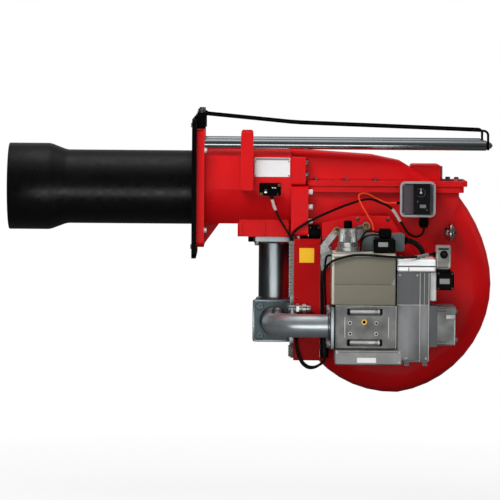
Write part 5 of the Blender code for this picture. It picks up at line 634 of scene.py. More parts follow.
add_block(mark, (dial_x - 0.0009, -0.1642, dial_z + 0.001), (dial_x + 0.0009, -0.1634, dial_z + 0.0105), 0.0002, 1)
for n in range(9):
    a = math.radians(-30 + 30 * n)
    add_block(mark, (-0.0003, -0.0003, 0.0095), (0.0003, 0.0003, 0.0112), 0, 1,
              Matrix.Translation((dial_x, -0.1634, dial_z)) @ Matrix.Rotation(a, 4, "Y"))
spin(mark, [(0.0028, 0), (0.0028, 0.0006), (0, 0.0008)], look((dial_x, -0.1636, dial_z), (0, -1, 0)), 20)
piece("dial_marks", mark, WHITE, "dial")
group("switch_panel_screw", BRIGHT, [(pan_screw, (0.544, face, -0.024), (0, -1, 0), 0.0028, 0.0014),
                                     (pan_screw, (0.566, face, -0.045), (0, -1, 0), 0.0020, 0.0012)])
group("switch_panel_field", FOIL_GREY, [(add_block, (0.549, face - 0.0004, -0.040), (0.564, face + 0.0004, -0.032), 0.0002, 1)])
gland = turned("switch_gland_nut", [(0, 0), (0.0088, 0), (0.0096, 0.003), (0.0112, 0.006), (0.0124, 0.0075),
                                    (0.0124, 0.019), (0.0112, 0.0205), (0.0112, 0.027), (0, 0.027)],
               (0.5605, -0.118, -0.0889), (0, 0, 1), BLACK, steps=8, crease=20)

# ---- lifting eye --------------------------------------------------------------------------------
low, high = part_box("eye_bolt")
eye_x, eye_z = mid(low.x, high.x), mid(low.z, high.z)
ring_y, ring_radius, wire = low.y + 0.024, 0.0183, 0.0056
points = [Vector((eye_x, ring_y + ring_radius * math.cos(math.tau * n / 48),
                  eye_z + ring_radius * math.sin(math.tau * n / 48))) for n in range(48)]
ring = tube("lifting_ring", points, wire, BRIGHT, closed=True, ring=7)
collar = turned("lifting_collar", [(0, 0), (0.0150, 0), (0.0150, 0.0035), (0.0125, 0.006), (0.0085, 0.0075),
                                   (0.0075, 0.011), (0.0082, 0.015), (0, 0.015)],
                (eye_x, high.y, eye_z), (0, -1, 0), BRIGHT, steps=48)
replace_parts(ring, "eye_bolt")

# ---- gas riser, block, elbow and nipple ---------------------------------------------------------
low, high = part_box("gas_riser")
riser_x = mid(low.x, high.x)
group("riser_bolts", BOLT, [(hex_head, (riser_x + sx * 0.041, sy * 0.041, high.z - 0.0130), (0, 0, -1), 0.0078, 0.0090)
                            for sx in SIDES for sy in SIDES])
group("riser_rims", BRIGHT, [
    (spin, [(0.0379, -0.0008), (0.0408, -0.0006), (0.0414, 0.0012), (0.0394, 0.0036), (0.0379, 0.0044)],
     look((riser_x, 0, high.z - 0.0131), (0, 0, -1)), 56),
    (spin, [(0.0379, -0.0003), (0.0410, 0.0002), (0.0402, 0.0024), (0.0379, 0.0038)],
     look((riser_x, 0, -0.2700), (0, 0, 1)), 56)])
low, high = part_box("gas_elbow_block")
front = low.y
frame_width = 0.0035
group("block_frame", ZINC, [
    (add_block, (low.x + 0.0012, front - 0.0012, high.z - frame_width - 0.0012), (high.x - 0.0012, front + 0.0008, high.z - 0.0012), 0.0006),
    (add_block, (low.x + 0.0012, front - 0.0012, low.z + 0.0012), (high.x - 0.0012, front + 0.0008, low.z + frame_width + 0.0012), 0.0006),
    (add_block, (low.x + 0.0012, front - 0.0012, low.z + 0.0012), (low.x + frame_width + 0.0012, front + 0.0008, high.z - 0.0012), 0.0006),
    (add_block, (high.x - frame_width - 0.0012, front - 0.0012, low.z + 0.0012), (high.x - 0.0012, front + 0.0008, high.z - 0.0012), 0.0006)])
group("block_bolts", CAST_BLUE, [
    (spin, [(0, -0.001), (0.0095, -0.001), (0.0095, 0.0012), (0.0080, 0.0022), (0.0074, 0.0010), (0.0046, 0.0010),
            (0.0046, 0.0028), (0, 0.0034)], look((x, front, z), (0, -1, 0)), 28)
    for x in (low.x + 0.0175, high.x - 0.0135) for z in (low.z + 0.016, high.z - 0.016)])
low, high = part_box("gas_elbow")
gas_z, gas_y = mid(low.z, high.z), high.y - 0.150
pipe_radius, bend = 0.0285, 0.076
straight_y = gas_y + bend
route = [Vector((riser_x, high.y, gas_z)), Vector((riser_x, mid(high.y, straight_y), gas_z))]
for step in range(25):
    angle = math.pi / 2 * step / 24
    route.append(Vector((riser_x + bend - bend * math.cos(angle), straight_y - bend * math.sin(angle), gas_z)))
route.append(Vector((high.x - 0.006, gas_y, gas_z)))
pipe = tube("elbow_pipe", route, pipe_radius, PIPE_ZINC, ring=14)
flange_low = high.x - 0.011
parts = bmesh.new()
half = (high.z - low.z) / 2
add_block(parts, (flange_low, gas_y - half, low.z), (high.x, gas_y + half, high.z), 0.003, 3)
spin(parts, [(0.0280, -0.001), (0.0345, 0), (0.0350, 0.0012), (0.0350, 0.0040), (0.0335, 0.0062), (0.0305, 0.0090),
             (0.0283, 0.0098)], look((riser_x, high.y, gas_z), (0, -1, 0)), 56)
spin(parts, [(0.0283, 0.0), (0.0330, 0.0005), (0.0325, 0.0030), (0.0300, 0.0050), (0.0283, 0.0055)],
     look((flange_low, gas_y, gas_z), (-1, 0, 0)), 56)
nip_low, nip_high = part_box("test_nipple")
boss_y, boss_z = mid(nip_low.y, nip_high.y), mid(nip_low.z, nip_high.z)
spin(parts, [(0, 0), (0.0088, 0), (0.0100, 0.0012), (0.0100, 0.0168), (0.0092, 0.0179), (0, 0.0179)],
     look((nip_low.x - 0.0183, boss_y, boss_z), (1, 0, 0)), 28)
root_way = Vector((0, boss_y - gas_y - 0.010, boss_z - gas_z))
spin(parts, [(0, 0), (0.0090, 0), (0.0090, root_way.length), (0, root_way.length)],
     look((nip_low.x - 0.0093, gas_y + 0.010, gas_z), root_way), 24)
spin(parts, [(0.0150, 0.0190), (0.0150, 0.0270), (0.0143, 0.0330), (0.0125, 0.0375), (0.0095, 0.0402),
             (0.0050, 0.0410), (0, 0.0410)], look((riser_x + 0.008, -0.155, gas_z), (0, 0, 1)), 36)
elbow_parts = piece("elbow_flanges", parts, ZINC)
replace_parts(pipe, "gas_elbow")
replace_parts(elbow_parts, "gas_elbow")
group("valve_flange_bolts", BOLT, [
    (hex_head, (flange_low, gas_y + sy * 0.0405, gas_z + sz), (-1, 0, 0), 0.0082, 0.0090)
    for sy in SIDES for sz in (0.0400, -0.0405)])
low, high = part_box("test_nipple")
nipple_y, nipple_z = mid(low.y, high.y), mid(low.z, high.z)
nipple = bmesh.new()
axis_at = look((0, nipple_y, nipple_z), (1, 0, 0))
spin(nipple, [(0, low.x), (0.0125, low.x), (0.0130, low.x + 0.0008), (0.0130, low.x + 0.0072), (0.0122, low.x + 0.008),
              (0.0090, low.x + 0.0082)], axis_at, 6, 0.5)
spin(nipple, [(0.0090, low.x + 0.0060), (0.0096, low.x + 0.0085), (0.0096, low.x + 0.0110), (0.0082, low.x + 0.0120),
              (0.0082, low.x + 0.0140), (0.0122, low.x + 0.0150), (0.0122, low.x + 0.0240), (0.0112, low.x + 0.0250),
              (0.0088, low.x + 0.0255), (0.0088, high.x - 0.0040), (0.0070, high.x), (0.0030, high.x),
              (0.0030, high.x - 0.004), (0, high.x - 0.004)], axis_at, 36)
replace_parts(piece("test_point", nipple, KNOB_STEEL), "test_nipple")

# ---- valve body, base and coil cover ------------------------------------------------------------
low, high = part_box("valve_body")
front = low.y
group("pocket_screws", CAST_LIGHT, [
    (spin, [(0, 0.3785), (0.0050, 0.3785), (0.0056, 0.381), (0.0056, 0.440), (0.0040, 0.441), (0.0040, 0.446),
            (0.0068, 0.4465), (0.0068, 0.4515), (0, 0.4520)], look((0, front + 0.0062, z), (1, 0, 0)), 24)
    for z in (high.z - 0.0155, low.z + 0.0155)])
# Painted shade: near-black blocks at the pocket ends.
group("pocket_ends", GAP_SHADE, [
    (add_block, (x - 0.0030, front - 0.0002, z - 0.0064), (x + 0.0030, front + 0.0040, z + 0.0064), 0.0004)
    for x in (0.3775, 0.4540) for z in (high.z - 0.0155, low.z + 0.0155)])
# Painted shade: near-black dots for the holes in the valve front.
group("valve_dots", GAP_SHADE, [
    (spin, [(0, 0.0003), (0.0028, 0.0003), (0.0031, 0)], look((x, front, z), (0, -1, 0)), 18)
    for x, z in ((0.3805, -0.3095), (0.4430, -0.3095), (0.3810, -0.3350), (0.4430, -0.3350))])
group("valve_dot_rims", CAST_LIGHT, [
    (spin, [(0.0029, 0.0006), (0.0042, 0.0006), (0.0047, 0)], look((x, front, z), (0, -1, 0)), 20)
    for x, z in ((0.3805, -0.3095), (0.4430, -0.3095), (0.3810, -0.3350), (0.4430, -0.3350))])
group("valve_plug", BRASS, [
    (spin, [(0.0038, 0.0004), (0.0040, 0.0028), (0.0066, 0.0028), (0.0072, 0.0020), (0.0072, 0)],
     look((0.4140, front, -0.3070), (0, -1, 0)), 28)])
# Painted shade: a near-black socket in the plug.
group("valve_plug_centre", GAP_SHADE, [(spin, [(0, 0.0008), (0.0040, 0.0010)], look((0.4140, front, -0.3070), (0, -1, 0)), 6)])
group("valve_lips", CAST_LIGHT, [
    (add_block, (low.x + 0.001, front - 0.0008, high.z - 0.0022), (high.x - 0.001, front + 0.001, high.z - 0.0006), 0.0004),
    (add_block, (high.x - 0.0024, front - 0.0008, low.z + 0.001), (high.x - 0.0008, front + 0.001, high.z - 0.001), 0.0004),
    (add_block, (low.x + 0.022, front - 0.0006, low.z + 0.0275), (low.x + 0.024, front + 0.001, high.z - 0.0275), 0.0004),
    (add_block, (high.x - 0.020, front - 0.0006, low.z + 0.0275), (high.x - 0.018, front + 0.001, high.z - 0.0275), 0.0004)])
base_low, base_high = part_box("valve_base")
group("base_plate", FOIL_GREY, [(add_block, (0.354, base_low.y - 0.0006, -0.4080), (0.445, base_low.y + 0.0004, -0.3895), 0.0003, 1)])
group("base_plate_field", SILVER, [(add_block, (0.398, base_low.y - 0.0010, -0.4045), (0.443, base_low.y, -0.3925), 0.0003, 1)])
group("base_screws", BOLT, [(cap_screw, (x, base_low.y, z), (0, -1, 0), 0.0030, 0.0018)
                            for x, z in ((0.3505, -0.3800), (0.4985, -0.3800), (0.4985, -0.4040))])
# Painted shade: a near-black line along the base seam.
group("base_seam", GAP_SHADE, [(add_block, (base_low.x + 0.002, base_low.y - 0.0003, base_high.z - 0.0075),
                           (base_high.x - 0.002, base_low.y + 0.0004, base_high.z - 0.0068), 0, 1)])
low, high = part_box("coil_housing")
seam = -0.2200
cover = bmesh.new()
add_block(cover, (low.x, low.y, low.z), (high.x, high.y, seam - 0.0005), 0.0022, 3)
add_block(cover, (low.x, low.y, seam + 0.0005), (high.x, high.y, high.z), 0.0030, 3)
add_block(cover, (low.x + 0.0012, low.y + 0.0012, low.z + 0.01), (high.x - 0.0012, high.y - 0.0012, high.z - 0.01), 0, 1)
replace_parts(piece("coil_cover", cover, BEIGE), "coil_housing")
group("coil_top", PALE_TOP, [(add_block, (low.x + 0.0030, low.y + 0.0030, high.z - 0.001), (high.x - 0.0030, high.y - 0.0030, high.z + 0.00015), 0, 1),
                             (add_block, (low.x + 0.0010, low.y - 0.0004, high.z - 0.0078), (high.x - 0.0010, low.y + 0.001, high.z - 0.0022), 0.0004)])
group("coil_edge", PALE_TOP, [(add_block, (low.x + 0.0004, low.y - 0.0003, low.z + 0.003), (low.x + 0.0060, low.y + 0.001, high.z - 0.009), 0.0003)])
group("coil_notch", FOIL_GREY, [(add_outline, [(high.x - 0.0110, seam + 0.001), (high.x - 0.0012, seam + 0.001),
                                               (high.x - 0.0012, seam + 0.017), (high.x - 0.0030, seam + 0.017)],
                                 "Y", low.y - 0.0003, low.y + 0.001)])

# ---- hydraulic brake knob -----------------------------------------------------------------------
low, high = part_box("flow_knob")
knob_x, knob_y, knob_radius = mid(low.x, high.x), mid(low.y, high.y), (high.x - low.x) / 2
flutes, outline = 34, []
for n in range(flutes * 6):
    share = (n % 6) / 6
    depth = 0.0016 * (0.5 - 0.5 * math.cos(math.tau * share)) ** 0.8
    angle = math.tau * n / (flutes * 6)
    outline.append((knob_x + (knob_radius - depth) * math.cos(angle), knob_y + (knob_radius - depth) * math.sin(angle)))
knob = bmesh.new()
add_outline(knob, outline, "Z", low.z, high.z, 0.0010, 2)
spin(knob, [(0, 0), (0.0185, 0), (0.0185, 0.0005), (0.0165, 0.0005), (0.0165, 0.0002), (0, 0.0002)],
     look((knob_x, knob_y, high.z - 0.0001), (0, 0, 1)), 40)
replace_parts(piece("brake_knob", knob, KNOB_STEEL, "knob"), "flow_knob")
low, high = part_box("brake_base")
turned("brake_base_rings", [(0.0286, 0.0016), (0.0289, 0.0024), (0.0289, 0.0034), (0.0286, 0.0042)],
       (knob_x, knob_y, low.z), (0, 0, 1), KNOB_STEEL, steps=48)
group("brake_screws", BOLT, [(cap_screw, (knob_x + 0.0260 * math.cos(a), knob_y + 0.0260 * math.sin(a), low.z + 0.011),
                              (0, 0, 1), 0.0022, 0.0022) for a in (0.8, 2.4, 3.9, 5.5)])

# ---- switches, plugs and the wiring box ---------------------------------------------------------
low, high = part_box("gas_switch_low")
group("low_switch_field", FOIL_GREY, [(add_block, (0.446, low.y - 0.0007, -0.1280), (0.469, low.y + 0.0006, -0.1172), 0.0003, 1)])
group("low_switch_seam", FOIL_GREY, [(add_block, (low.x - 0.0003, low.y + 0.012, low.z + 0.001), (high.x + 0.0003, low.y + 0.0128, high.z - 0.001), 0, 1)])
low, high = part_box("gas_switch_high")
group("high_switch_field", FOIL_GREY, [(add_block, (0.5925, low.y - 0.0007, -0.2155), (0.6165, low.y + 0.0006, -0.2030), 0.0003, 1)])
group("high_switch_screws", BOLT, [(pan_screw, (x, low.y, z), (0, -1, 0), 0.0020, 0.0012)
                                   for x in (low.x + 0.004, high.x - 0.004) for z in (low.z + 0.004, high.z - 0.004)])
low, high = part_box("din_plug")
neck_top = low.z + 0.010
group("din_gasket", BLACK, [(add_block, (low.x + 0.0008, low.y + 0.0008, low.z + 0.0004), (high.x - 0.0008, high.y - 0.0008, low.z + 0.0062), 0.0008)])
# Painted shade: a near-black slot in the plug face.
group("din_slot", GAP_SHADE, [(add_block, (low.x + 0.0055, low.y - 0.0004, -0.1345), (high.x - 0.0055, low.y + 0.001, -0.1305), 0.0004)])
group("din_face", PLUG_GREY, [(add_block, (low.x + 0.0035, low.y - 0.0016, -0.1655), (high.x - 0.0035, low.y + 0.001, -0.1370), 0.0012)])
group("din_gland", BLACK, [
    (spin, [(0.0052, 0.0030), (0.0062, 0.0046), (0.0080, 0.0046), (0.0094, 0.0030), (0.0096, 0.0)],
     look((0.6025, low.y - 0.0014, -0.1455), (0, -1, 0)), 28)])
group("din_gland_hole", DIAL_GREY, [
    (spin, [(0, 0.0020), (0.0052, 0.0030)], look((0.6025, low.y - 0.0014, -0.1455), (0, -1, 0)), 28)])
group("din_side_gland", BLACK, [
    (spin, [(0, -0.001), (0.0068, -0.001), (0.0068, 0.0035), (0.0050, 0.0060), (0.0028, 0.0075)],
     look((low.x, -0.2360, -0.1465), (-1, 0, 0)), 20)])
group("din_feet", PALE_TOP, [(add_block, (low.x + 0.0020, low.y - 0.0003, neck_top + 0.0002), (low.x + 0.0055, low.y + 0.004, -0.1450), 0.0006),
                             (add_block, (high.x - 0.0055, low.y - 0.0003, neck_top + 0.0002), (high.x - 0.0020, low.y + 0.004, -0.1450), 0.0006)])
low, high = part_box("wiring_box")
group("wiring_box_lid", BOX_GREY, [(add_block, (low.x + 0.0004, low.y - 0.0012, low.z + 0.002), (high.x - 0.0004, low.y + 0.001, high.z - 0.0012), 0.0008)])
group("wiring_box_screws", BOLT, [(pan_screw, (x, low.y - 0.0012, high.z - 0.006), (0, -1, 0), 0.0024, 0.0014)
                                  for x in (low.x + 0.006, high.x - 0.006)])
turned("conduit_gland", [(0, -0.002), (0.0095, -0.002), (0.0095, 0.0040), (0.0080, 0.0060), (0.0068, 0.0075)],
       (high.x, -0.169, -0.118), (1, 0, 0), BLACK, steps=8, crease=20)
low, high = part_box("wiring_plug")
group("wiring_plug_grip", BLACK, [(add_block, (low.x + 0.002, low.y - 0.0009, low.z + 0.003 + n * 0.0052),
                                   (high.x - 0.002, low.y + 0.001, low.z + 0.0055 + n * 0.0052), 0.0005)
                                  for n in range(3)])

# ---- regulator and inlet ------------------------------------------------------------------------
low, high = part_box("regulator_body")
front = low.y
group("regulator_ribs", CAST_LIGHT, [
    (add_block, (0.5455, front - 0.0016, -0.4000), (0.5476, front + 0.001, -0.1885), 0.0006),
    (add_block, (0.5560, front - 0.0010, -0.2665), (0.5574, front + 0.001, -0.1885), 0.0005),
    (add_block, (0.5665, front - 0.0014, -0.4000), (0.5684, front + 0.001, -0.1885), 0.0006),
    (add_block, (0.4930, front - 0.0010, -0.2668), (0.5680, front + 0.001, -0.2652), 0.0004)])
group("regulator_lower", CAST_LOW, [
    (add_block, (0.4945, front - 0.0008, -0.3960), (0.5450, front + 0.001, -0.2675), 0.0004),
    (add_block, (0.5485, front - 0.0008, -0.3960), (0.5660, front + 0.001, -0.2675), 0.0004)])
group("regulator_screws", BOLT, [(cap_screw, (x, front, z), (0, -1, 0), 0.0028, 0.0020)
                                 for x, z in ((0.4985, -0.1950), (0.5400, -0.1950), (0.5140, -0.3930), (0.5620, -0.3930))])
bar_low, bar_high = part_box("regulator_bar")
group("bar_seams", REGULATOR, [(add_block, (bar_low.x + 0.001, bar_low.y - 0.0004, -0.1755), (bar_high.x - 0.001, bar_low.y + 0.001, -0.1720), 0.0003, 1),
                               (add_block, (bar_low.x + 0.026, bar_low.y - 0.0008, bar_low.z + 0.001), (bar_low.x + 0.028, bar_low.y + 0.001, bar_low.z + 0.012), 0.0003, 1)])
group("bar_screws", BOLT, [(hex_head, (x, y, bar_high.z), (0, 0, 1), 0.0052, 0.0045)
                           for x in (bar_low.x + 0.010, bar_low.x + 0.050) for y in (bar_low.y + 0.012, bar_high.y - 0.012)])
low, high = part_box("inlet_flange")
# Painted highlight: light strips along the top and right edges of the inlet flange's face.
group("inlet_edge_highlights", CAST_LIGHT, [
    (add_block, (0.6095, low.y - 0.0010, -0.2990), (high.x - 0.0008, low.y + 0.001, -0.2890), 0.0006),
    (add_block, (high.x - 0.0030, low.y - 0.0008, low.z + 0.002), (high.x - 0.0008, low.y + 0.001, -0.2995), 0.0005)])
group("inlet_screws", BOLT, [(hex_head, (high.x, y, z), (1, 0, 0), 0.0068, 0.0060)
                             for y in (low.y + 0.014, high.y - 0.014) for z in (low.z + 0.013, high.z - 0.013)])
turned("inlet_thread", [(0.0250, 0), (0.0250, 0.0006)] + [(0.0250 - (0.0009 if n % 2 else 0.0), 0.001 + n * 0.0012)
                                                      for n in range(18)],
       (high.x, gas_y, -0.3165), (-1, 0, 0), CAST, steps=56, crease=60)

# ---- servomotor, its cover and the linkage ------------------------------------------------------
low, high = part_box("servo_cover")
group("yellow_square", YELLOW, [(add_block, (0.2605, low.y - 0.0005, -0.1740), (0.2960, low.y + 0.0004, -0.1390), 0.0002, 1)])
group("cover_fold", RED_SHEET, [(add_block, (low.x + 0.0003, low.y - 0.0007, high.z - 0.0105), (high.x - 0.0003, low.y + 0.001, high.z - 0.0085), 0.0005)])
group("cover_screws", BOLT, [(pan_screw, (x, low.y, z), (0, -1, 0), 0.0030, 0.0018)
                             for x, z in ((low.x + 0.008, low.z + 0.010), (low.x + 0.008, low.z + 0.150))])
low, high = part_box("servo_motor")
group("servo_lid", BLACK, [(add_block, (0.2840, low.y - 0.0015, -0.1120), (0.3100, low.y + 0.001, -0.0880), 0.0010)])
group("servo_lid_screws", BOLT, [(pan_screw, (x, low.y - 0.0015, -0.0915), (0, -1, 0), 0.0020, 0.0012) for x in (0.2870, 0.3070)])
group("white_tip", WHITE, [
    (spin, [(0, 0), (0.0030, 0), (0.0042, 0.004), (0.0042, 0.011), (0.0028, 0.014), (0, 0.014)],
     look((0.2605, -0.1005, -0.1200), (-0.35, -0.1, 1)), 20)])
low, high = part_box("servo_cam")
cam_x, cam_z = 0.300, -0.160
cam = bmesh.new()
spin(cam, [(0, 0), (0.0120, 0), (0.0120, 0.0012), (0.0095, 0.0022), (0, 0.0022)], look((cam_x, -0.1346, cam_z), (0, -1, 0)), 32)
hex_head(cam, (cam_x, -0.1364, cam_z), (0, -1, 0), 0.0062, 0.0045)
for rise in (0.0330, 0.0210, 0.0090, -0.0030, -0.0150):
    rim = math.sqrt(0.0375 ** 2 - rise ** 2) - 0.0015
    tip = 0.0425 - abs(rise) * 0.25
    spin(cam, [(0, rim), (0.0022, rim), (0.0022, tip - 0.0050), (0.0034, tip - 0.0045), (0.0034, tip - 0.0004),
               (0.0030, tip), (0, tip)], look((cam_x, -0.1276, cam_z + rise), (1, 0, 0)), 20)
piece("cam_screws", cam, LEVER_ZINC, "cam")
pins = bmesh.new()
hex_head(pins, (0.350, -0.1456, -0.097), (0, -1, 0), 0.0060, 0.0030)
spin(pins, [(0, -0.0115), (0.0070, -0.0115), (0.0078, -0.0095), (0.0070, -0.0085)], look((0.350, -0.1456, -0.097), (0, -1, 0)), 24)
piece("pin_near", pins, BRASS, "cam")
pins = bmesh.new()
hex_head(pins, (0.421, -0.1456, -0.085), (0, -1, 0), 0.0056, 0.0030)
piece("pin_far", pins, BRASS, "damper")
joint = bmesh.new()
for x, z in ((0.350, -0.097), (0.421, -0.085)):
    spin(joint, [(0.0058, 0), (0.0096, 0), (0.0100, 0.0015), (0.0100, 0.0068), (0.0096, 0.0083), (0.0058, 0.0083)],
         look((x, -0.1362, z), (0, -1, 0)), 32)
way = Vector((0.071, 0, 0.012)).normalized()
for start, run in ((Vector((0.350, -0.1404, -0.097)), way), (Vector((0.421, -0.1404, -0.085)), -way)):
    spin(joint, [(0, 0.0075), (0.0052, 0.0075), (0.0052, 0.0200), (0.0032, 0.0210)], look(start, run), 6)
piece("link_ends", joint, STEEL, "link")
shaft = bmesh.new()
spin(shaft, [(0, 0), (0.0062, 0), (0.0062, 0.0005), (0.0056, 0.0010), (0, 0.0010)],
     look((0.371, -0.1286, -0.148), (0, -1, 0)), 32)
spin(shaft, [(0.0040, 0), (0.0066, 0), (0.0066, 0.0040), (0.0062, 0.0046), (0.0040, 0.0046)],
     look((0.421, -0.1287, -0.085), (0, -1, 0)), 24)
piece("damper_collars", shaft, BOLT, "damper")

# ---- leads --------------------------------------------------------------------------------------
ROUTES = {
    "sensor_cable": (0.0027, RUBBER, [
        (0.1930, -0.1120, -0.0123), (0.1930, -0.1120, -0.0200), (0.1990, -0.1110, -0.0400),
        (0.2110, -0.1080, -0.0680), (0.2240, -0.1050, -0.0900), (0.2330, -0.1040, -0.1040),
        (0.2368, -0.1040, -0.1120), (0.2393, -0.1040, -0.1180), (0.2393, -0.1040, -0.1237)]),
    "air_switch_cable": (0.0030, RUBBER, [
        (0.2425, -0.1160, -0.1237), (0.2425, -0.1160, -0.1170), (0.2445, -0.1165, -0.1060),
        (0.2620, -0.1168, -0.0900), (0.2960, -0.1160, -0.0700), (0.3350, -0.1090, -0.0520),
        (0.3720, -0.1050, -0.0370), (0.4050, -0.1040, -0.0260), (0.4290, -0.1040, -0.0215),
        (0.4520, -0.1050, -0.0280), (0.4830, -0.1080, -0.0440), (0.5060, -0.1110, -0.0770),
        (0.5230, -0.1140, -0.1020), (0.5400, -0.1170, -0.1110), (0.5550, -0.1180, -0.1065),
        (0.5605, -0.1180, -0.0960), (0.5605, -0.1180, -0.0893)]),
    "pressure_tube": (0.0021, ORANGE, [
        (0.5037, -0.1200, -0.0300), (0.4900, -0.1200, -0.0300), (0.4700, -0.1210, -0.0295),
        (0.4460, -0.1260, -0.0190), (0.4280, -0.1330, -0.0095), (0.4130, -0.1420, -0.0060),
        (0.4020, -0.1520, -0.0115), (0.4060, -0.1600, -0.0280), (0.4210, -0.1660, -0.0540),
        (0.4350, -0.1690, -0.0790), (0.4370, -0.1690, -0.0920), (0.4370, -0.1690, -0.0996)]),
    "din_cable": (0.0027, RUBBER, [
        (0.5836, -0.2360, -0.1465), (0.5750, -0.2360, -0.1465), (0.5580, -0.2480, -0.1480),
        (0.5400, -0.2640, -0.1510), (0.5160, -0.2745, -0.1520), (0.4780, -0.2760, -0.1510),
        (0.4330, -0.2760, -0.1480), (0.3870, -0.2760, -0.1480), (0.3480, -0.2763, -0.1580),
        (0.3310, -0.2740, -0.1670), (0.3200, -0.2610, -0.1810), (0.3160, -0.2350, -0.2010),
        (0.3155, -0.2080, -0.2250), (0.3170, -0.1800, -0.2620), (0.3185, -0.1640, -0.3020),
        (0.3185, -0.1600, -0.3350), (0.3185, -0.1600, -0.3502)]),
    "coil_cable": (0.0027, RUBBER, [
        (0.3357, -0.1900, -0.1540), (0.3290, -0.1900, -0.1540), (0.3235, -0.1890, -0.1620),
        (0.3215, -0.1800, -0.1950), (0.3225, -0.1700, -0.2400), (0.3255, -0.1620, -0.2850),
        (0.3265, -0.1600, -0.3350), (0.3265, -0.1600, -0.3502)]),
    "loop_cable": (0.0030, RUBBER, [
        (0.2545, -0.1503, -0.3562), (0.2545, -0.1550, -0.3562), (0.2550, -0.1615, -0.3602),
        (0.2558, -0.1648, -0.3682), (0.2580, -0.1655, -0.3802), (0.2630, -0.1650, -0.3972),
        (0.2705, -0.1635, -0.4122), (0.2830, -0.1615, -0.4227), (0.2970, -0.1600, -0.4247),
        (0.3110, -0.1595, -0.4197), (0.3225, -0.1600, -0.4102), (0.3225, -0.1600, -0.4028)]),
}
for node, (radius, material, points) in ROUTES.items():
    route = fine_route(points, 0.004)
    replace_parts(tube(node + "_sheath", route, radius, material), node)
beside = [Vector(place) + Vector((-0.0030 * share, 0.0042, -0.0040 * math.sin(math.pi * share)))
          for place, share in zip(ROUTES["loop_cable"][2], [n / 11 for n in range(12)])]
tube("loop_lead_behind", fine_route(beside[1:-1], 0.004), 0.0030, RUBBER)
conduit = fine_route([
    (0.5123, -0.1690, -0.1180), (0.5230, -0.1690, -0.1180), (0.5400, -0.1770, -0.1250),
    (0.5520, -0.1900, -0.1380), (0.5550, -0.1960, -0.1490), (0.5550, -0.1960, -0.1567)], 0.0011)
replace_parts(tube("ribbed_conduit", conduit, 0.0066, RUBBER,
                 taper=[1.0 if n % 2 else 0.86 for n in range(len(conduit))]), "conduit")


def sleeve(name, route_name, start, end, radius, material):
    """A sleeve over part of a lead, from one share of its length to another."""
    points = fine_route(ROUTES[route_name][2], 0.003)
    first, last = int(start * (len(points) - 1)), int(end * (len(points) - 1))
    tube(name, points[first:last + 1], radius, material)


sleeve("sensor_sleeve", "sensor_cable", 0.10, 0.34, 0.0039, SLEEVE)
sleeve("sensor_boot", "sensor_cable", 0.0, 0.09, 0.0048, RUBBER)
sleeve("air_cable_sleeve", "air_switch_cable", 0.70, 0.79, 0.0040, SLEEVE)
sleeve("din_sleeve", "din_cable", 0.045, 0.115, 0.0036, PLUG_GREY)
sleeve("loop_boot", "loop_cable", 0.0, 0.055, 0.0046, BLACK)
sleeve("air_tube_end", "pressure_tube", 0.0, 0.05, 0.0036, BLACK)
group("bundle_ties", BLACK, [
    (spin, [(0.0080, 0), (0.0101, 0.0004), (0.0104, 0.0012), (0.0104, 0.0032), (0.0101, 0.0040), (0.0080, 0.0044)],
     look((0.3225, -0.160, z), (0, 0, 1)), 24) for z in (-0.3990, -0.3580)])
low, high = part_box("wiring_plug")
for index, (z_drop, y_shift, radius) in enumerate(((0.0, 0.0, 0.0019), (-0.007, 0.005, 0.0019))):
    tube("plug_wire_%d" % index, fine_route([
        (low.x + 0.002, -0.2300 + y_shift, -0.0950 + z_drop), (low.x - 0.006, -0.2300 + y_shift, -0.0950 + z_drop),
        (0.4300, -0.2260, -0.0920 + z_drop * 1.4), (0.4170, -0.2150, -0.0960 + z_drop * 1.6),
        (0.4085, -0.2040, -0.1110 + z_drop), (0.4065, -0.1990, -0.1300), (0.4060, -0.1980, -0.1430)], 0.003),
        radius, RUBBER)

# ---- floor, light and camera --------------------------------------------------------------------
world = bpy.data.worlds.new("studio")
bpy.context.scene.world = world
world.use_nodes = True
tree = world.node_tree
tree.nodes.clear()
output = tree.nodes.new("ShaderNodeOutputWorld")


def backdrop(strength):
    node = tree.nodes.new("ShaderNodeBackground")
    node.inputs["Color"].default_value = (1, 1, 1, 1)
    if isinstance(strength, float):
        node.inputs["Strength"].default_value = strength
    else:
        tree.links.new(strength, node.inputs["Strength"])
    return node.outputs[0]


def calculate(operation, first, second):
    node = tree.nodes.new("ShaderNodeMath")
    node.operation = operation
    for value, socket in ((first, node.inputs[0]), (second, node.inputs[1])):
        if isinstance(value, float):
            socket.default_value = value
        else:
            tree.links.new(value, socket)
    return node.outputs[0]


def mixed(factor, first, second):
    node = tree.nodes.new("ShaderNodeMixShader")
    tree.links.new(factor, node.inputs[0])
    tree.links.new(first, node.inputs[1])
    tree.links.new(second, node.inputs[2])
    return node.outputs[0]


direction = tree.nodes.new("ShaderNodeSeparateXYZ")
tree.links.new(tree.nodes.new("ShaderNodeTexCoord").outputs["Generated"], direction.inputs[0])
before = ramp(tree, direction.outputs["Y"], -0.30, 0.30, 0.07, 0.03)
behind = ramp(tree, direction.outputs["Y"], 0.35, 0.95, 0.0, 0.30)
above = ramp(tree, direction.outputs["Z"], 0.60, 0.92, 0.0, 0.42)
overhead = ramp(tree, direction.outputs["Z"], 0.92, 1.0, 0.0, 0.75)
room = backdrop(calculate("ADD", calculate("MAXIMUM", calculate("MAXIMUM", before, behind), above), overhead))
path = tree.nodes.new("ShaderNodeLightPath")
soft = mixed(path.outputs["Is Glossy Ray"], backdrop(AMBIENT), room)
straight = calculate("MAXIMUM", path.outputs["Is Camera Ray"], path.outputs["Is Transmission Ray"])
tree.links.new(mixed(straight, soft, backdrop(1.0)), output.inputs["Surface"])

